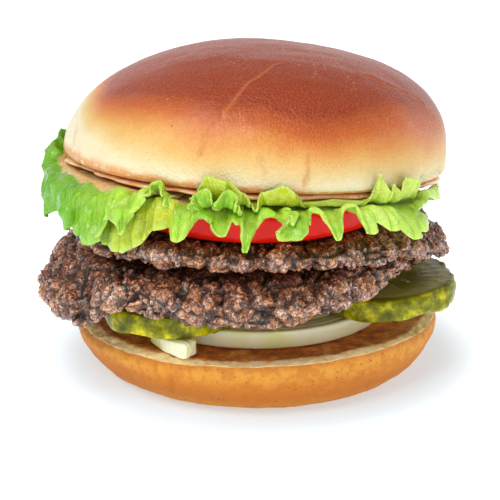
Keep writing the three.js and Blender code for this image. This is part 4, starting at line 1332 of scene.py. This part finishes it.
def makeLeaf(name, leaf, material):
    inner = np.linspace(0, 1, leafMake["innerRings"], endpoint=False)
    v = np.concatenate([inner, 1 + np.linspace(0, 1, leafMake["outerRings"]) ** 0.9])
    s = np.linspace(0, 1, leaf["columns"])
    v, s = np.meshgrid(v, s, indexing="ij")
    points, degrees, hang = leafSurface(leaf, s, v)
    out = np.maximum(v - 1, 0)
    # distances along the edge and out from the middle, for the pattern of the veins
    lengthwise = np.cumsum(np.linalg.norm(np.diff(points[-1], axis=0, prepend=points[-1][:1]), axis=-1))
    crosswise = np.cumsum(np.linalg.norm(np.diff(points, axis=0, prepend=points[:1]), axis=-1), axis=0)
    flat = np.stack([lengthwise[None] + 0 * s, crosswise, 0 * s], -1)
    crumpled = 1 - np.abs(noiseAt(points, 6.5, leaf["seed"])) * 2.2
    relief = leaf["crumple"] * crumpled * smoothstep(out, 0.05, 0.45)
    relief += 0.55 * leaf["crumple"] * noiseAt(points, 3.4, leaf["seed"] + 1) * smoothstep(out, 0.1, 0.7)
    # fine frills run along the edge, and the flesh between the veins is quilted
    relief += 0.3 * noiseAt(flat * np.array([1, 0.15, 1]), 2.6, leaf["seed"] + 3) * out**3
    first, second, _ = cellsAt(flat, 2.2, leaf["seed"] + 2)
    quilt = smoothstep(second - first, 0.0, 0.35)
    relief += 0.1 * quilt * smoothstep(out, 0, 0.3)
    points = points + surfaceNormals(points) * relief[..., None]
    thin = leafMake["thickness"] * lerp(1, 0.7, smoothstep(v, 1.7, 2.0))
    half = surfaceNormals(points) * (thin / 2)[..., None]

    def twice(upper, lower=None):
        lower = upper if lower is None else lower
        return np.concatenate([upper.reshape(-1, *upper.shape[2:]), lower.reshape(-1, *lower.shape[2:])])

    values = {
        # painted shade: a darker green where the edge hangs down in folds
        "out": out, "edge": smoothstep(v, 1.88, 2.0), "quilt": quilt, "trough": smoothstep(hang, -3, 3),
        "yellow": 1 - smoothstep(degrees, leaf["yellowUpTo"], leaf["yellowUpTo"] + 2),
        "sauced": leaf["sauced"] * (1 - smoothstep(out, 0.1, 0.55)) * smoothstep(-degrees, -4, 24),
        # painted light and shade: the leaves are drawn paler to the right and darker to the left
        "pale": smoothstep(degrees, 8, 30), "deep": smoothstep(-degrees, 30, 60),
    }
    values = {key: twice(value) for key, value in values.items()}
    body = twice(points + half, points - half) + stackOffset
    vectors = {"leafPlace": twice(flat) * millimetre}
    return makePiece(name, body, sheetFaces(*v.shape), material, values, vectors)


def leafFinish():
    material, tree, shader = newMaterial("crispLettuce", roughness=0.3, coat=0.3, coatRoughness=0.14,
                                         specular=0.3, scatter=0.25, scatterSize=1.2,
                                         scatterColour=(0.6, 1.0, 0.1))
    place = attribute(tree, "leafPlace", 1)
    where = objectPlace(tree)
    edge = attribute(tree, "edge")
    body = ramp(tree, noise(tree, where, 7, 3, 0.6), [
        (0.3, 124, 196, 22), (0.45, 164, 222, 36), (0.58, 194, 236, 66), (0.75, 220, 248, 124),
    ])
    inner = mixColour(tree, noise(tree, where, 4, 3), (176, 184, 2), (224, 226, 20))
    turnYellow = times(tree, mapTo(tree, attribute(tree, "out"), 0.7, 0.1), 0.45)
    turnYellow = maths(tree, "MAXIMUM", turnYellow, attribute(tree, "yellow"))
    # sauce has run on to the leaf beside the crown
    patchy = maths(tree, "SUBTRACT", noise(tree, where, 4.5, 4, 0.6), 0.5)
    smear = plus(tree, attribute(tree, "sauced"), times(tree, patchy, 1.6))
    peach = mixColour(tree, noise(tree, where, 1.5, 3), (244, 176, 112), (255, 224, 182))
    body = layered(tree, body, [
        (turnYellow, 1, inner),
        # painted shade in the hanging folds
        (times(tree, attribute(tree, "trough"), inverse(tree, edge)), 0.28, (104, 174, 6)),
        (inverse(tree, attribute(tree, "quilt")), 0.4, (206, 232, 120)),
        (edge, 0.65, (204, 236, 110)),
        # painted light on the right and painted shade on the left
        (attribute(tree, "pale"), 0.5, (220, 250, 118)),
        (attribute(tree, "deep"), 0.75, (88, 168, 12)),
        (mapTo(tree, smear, 0.44, 0.68, 0.0, 0.8), 1, peach),
    ])
    height = plus(tree, mapTo(tree, cellEdges(tree, place, 0.9), 0.0, 0.2), noise(tree, place, 0.6, 2))
    wet = mapTo(tree, noise(tree, where, 3.0, 3, 0.6), 0.4, 0.62, 0.05, 0.6)
    connect(tree, shader, base=body, coat=wet, normal=bumpFrom(tree, height, 0.1))
    return material


leafMaterial = leafFinish()
leafPieces = {name: makeLeaf(name, leaf, leafMaterial) for name, leaf in leaves.items()}
print("lettuce made")


# What each piece stands for: it rides on the root body and hides the parts it replaces

def attach(piece, slot, *nodes):
    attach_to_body(piece, "root")
    if nodes:
        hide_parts(*nodes)


attach(crownPiece, "crust_crown", "bun_crown")
attach(heelPiece, "crust_heel", "bun_heel")
attach(saucePiece, "sauce", "sauce")
attach(lowerPiece, "beef", "patty_lower")
attach(upperPiece, "beef", "patty_upper")
for piece in pattyBits:
    attach(piece, "beef")
attach(tomatoPiece, "tomato", "tomato_slice")
for piece, (_, node, *_) in zip(picklePieces, pickles["slices"]):
    attach(piece, "pickle", node)
attach(onionPiece, "onion", "onion_slice")
attach(chunkPiece, "onion", "onion_piece")
for name, piece in leafPieces.items():
    attach(piece, "lettuce", leaves[name]["node"])


# Floor, light and camera

studio = {
    "floorSize": 12.0, "floorColour": (0.47, 0.6, 0.71, 1), "skyStrength": 0.3,
    # the floor's own glow near the object and far from it, and where the one turns into the other
    "nearGlow": 0.46, "farGlow": 0.9, "glowReach": (0.05, 0.074),
    # name, place, what it points at, width, height, watts, colour
    "lights": [
        ("keyLight", (-0.31, -0.33, 0.68), (0, 0, 0.06), 0.62, 0.52, 4.45, (1.0, 0.985, 0.96)),
        ("rightLight", (0.62, 0.26, 0.22), (0, 0, 0.06), 0.34, 0.4, 0.8, (0.98, 0.99, 1.0)),
        ("backLight", (0.0, 0.8, 0.27), (0, 0, 0.07), 1.5, 0.45, 1.5, (0.97, 0.98, 1.0)),
        ("frontLight", (0.34, -0.78, 0.2), (0, 0, 0.035), 0.3, 0.3, 1.3, (1.0, 0.99, 0.97)),
    ],
    "cameraPlace": (-0.002, -0.33, 0.131), "cameraPitch": 17.0, "focalPixels": 1210, "framePixels": 500,
}


def makeStudio():
    scene = bpy.context.scene
    world = bpy.data.worlds.new("studioSky")
    world.use_nodes = True
    background = world.node_tree.nodes["Background"]
    background.inputs["Color"].default_value = (1, 1, 1, 1)
    background.inputs["Strength"].default_value = studio["skyStrength"]
    scene.world = world
    scene.view_settings.view_transform = "Standard"
    for name, place, target, width, height, watts, tint in studio["lights"]:
        data = bpy.data.lights.new(name, "AREA")
        data.shape = "RECTANGLE"
        data.size, data.size_y = width, height
        data.energy = watts
        data.color = tint
        light = linked(bpy.data.objects.new(name, data))
        light.location = place
        light.rotation_euler = (Vector(target) - Vector(place)).to_track_quat("-Z", "Y").to_euler()
    half = studio["floorSize"] / 2
    mesh = bpy.data.meshes.new("studioFloor")
    corners = [(-half, -half, 0), (half, -half, 0), (half, half, 0), (-half, half, 0)]
    mesh.from_pydata(corners, [], [(0, 1, 2, 3)])
    material, tree, shader = newMaterial("paleFloor", roughness=0.9, specular=0.1)
    shader.inputs["Base Color"].default_value = studio["floorColour"]
    shader.inputs["Emission Color"].default_value = (1, 1, 1, 1)
    away = addNode(tree, "ShaderNodeVectorMath", {0: objectPlace(tree)}, operation="LENGTH").outputs["Value"]
    glow = mapTo(tree, away, *studio["glowReach"], studio["nearGlow"], studio["farGlow"])
    tree.links.new(glow, shader.inputs["Emission Strength"])
    mesh.materials.append(material)
    linked(bpy.data.objects.new("studioFloor", mesh))
    data = bpy.data.cameras.new("studioCamera")
    data.sensor_width = 36.0
    data.lens = data.sensor_width * studio["focalPixels"] / studio["framePixels"]
    data.clip_start = 0.01
    camera = linked(bpy.data.objects.new("studioCamera", data))
    camera.location = studio["cameraPlace"]
    camera.rotation_euler = (math.radians(90 - studio["cameraPitch"]), 0, 0)
    scene.camera = camera


makeStudio()
print("studio made")
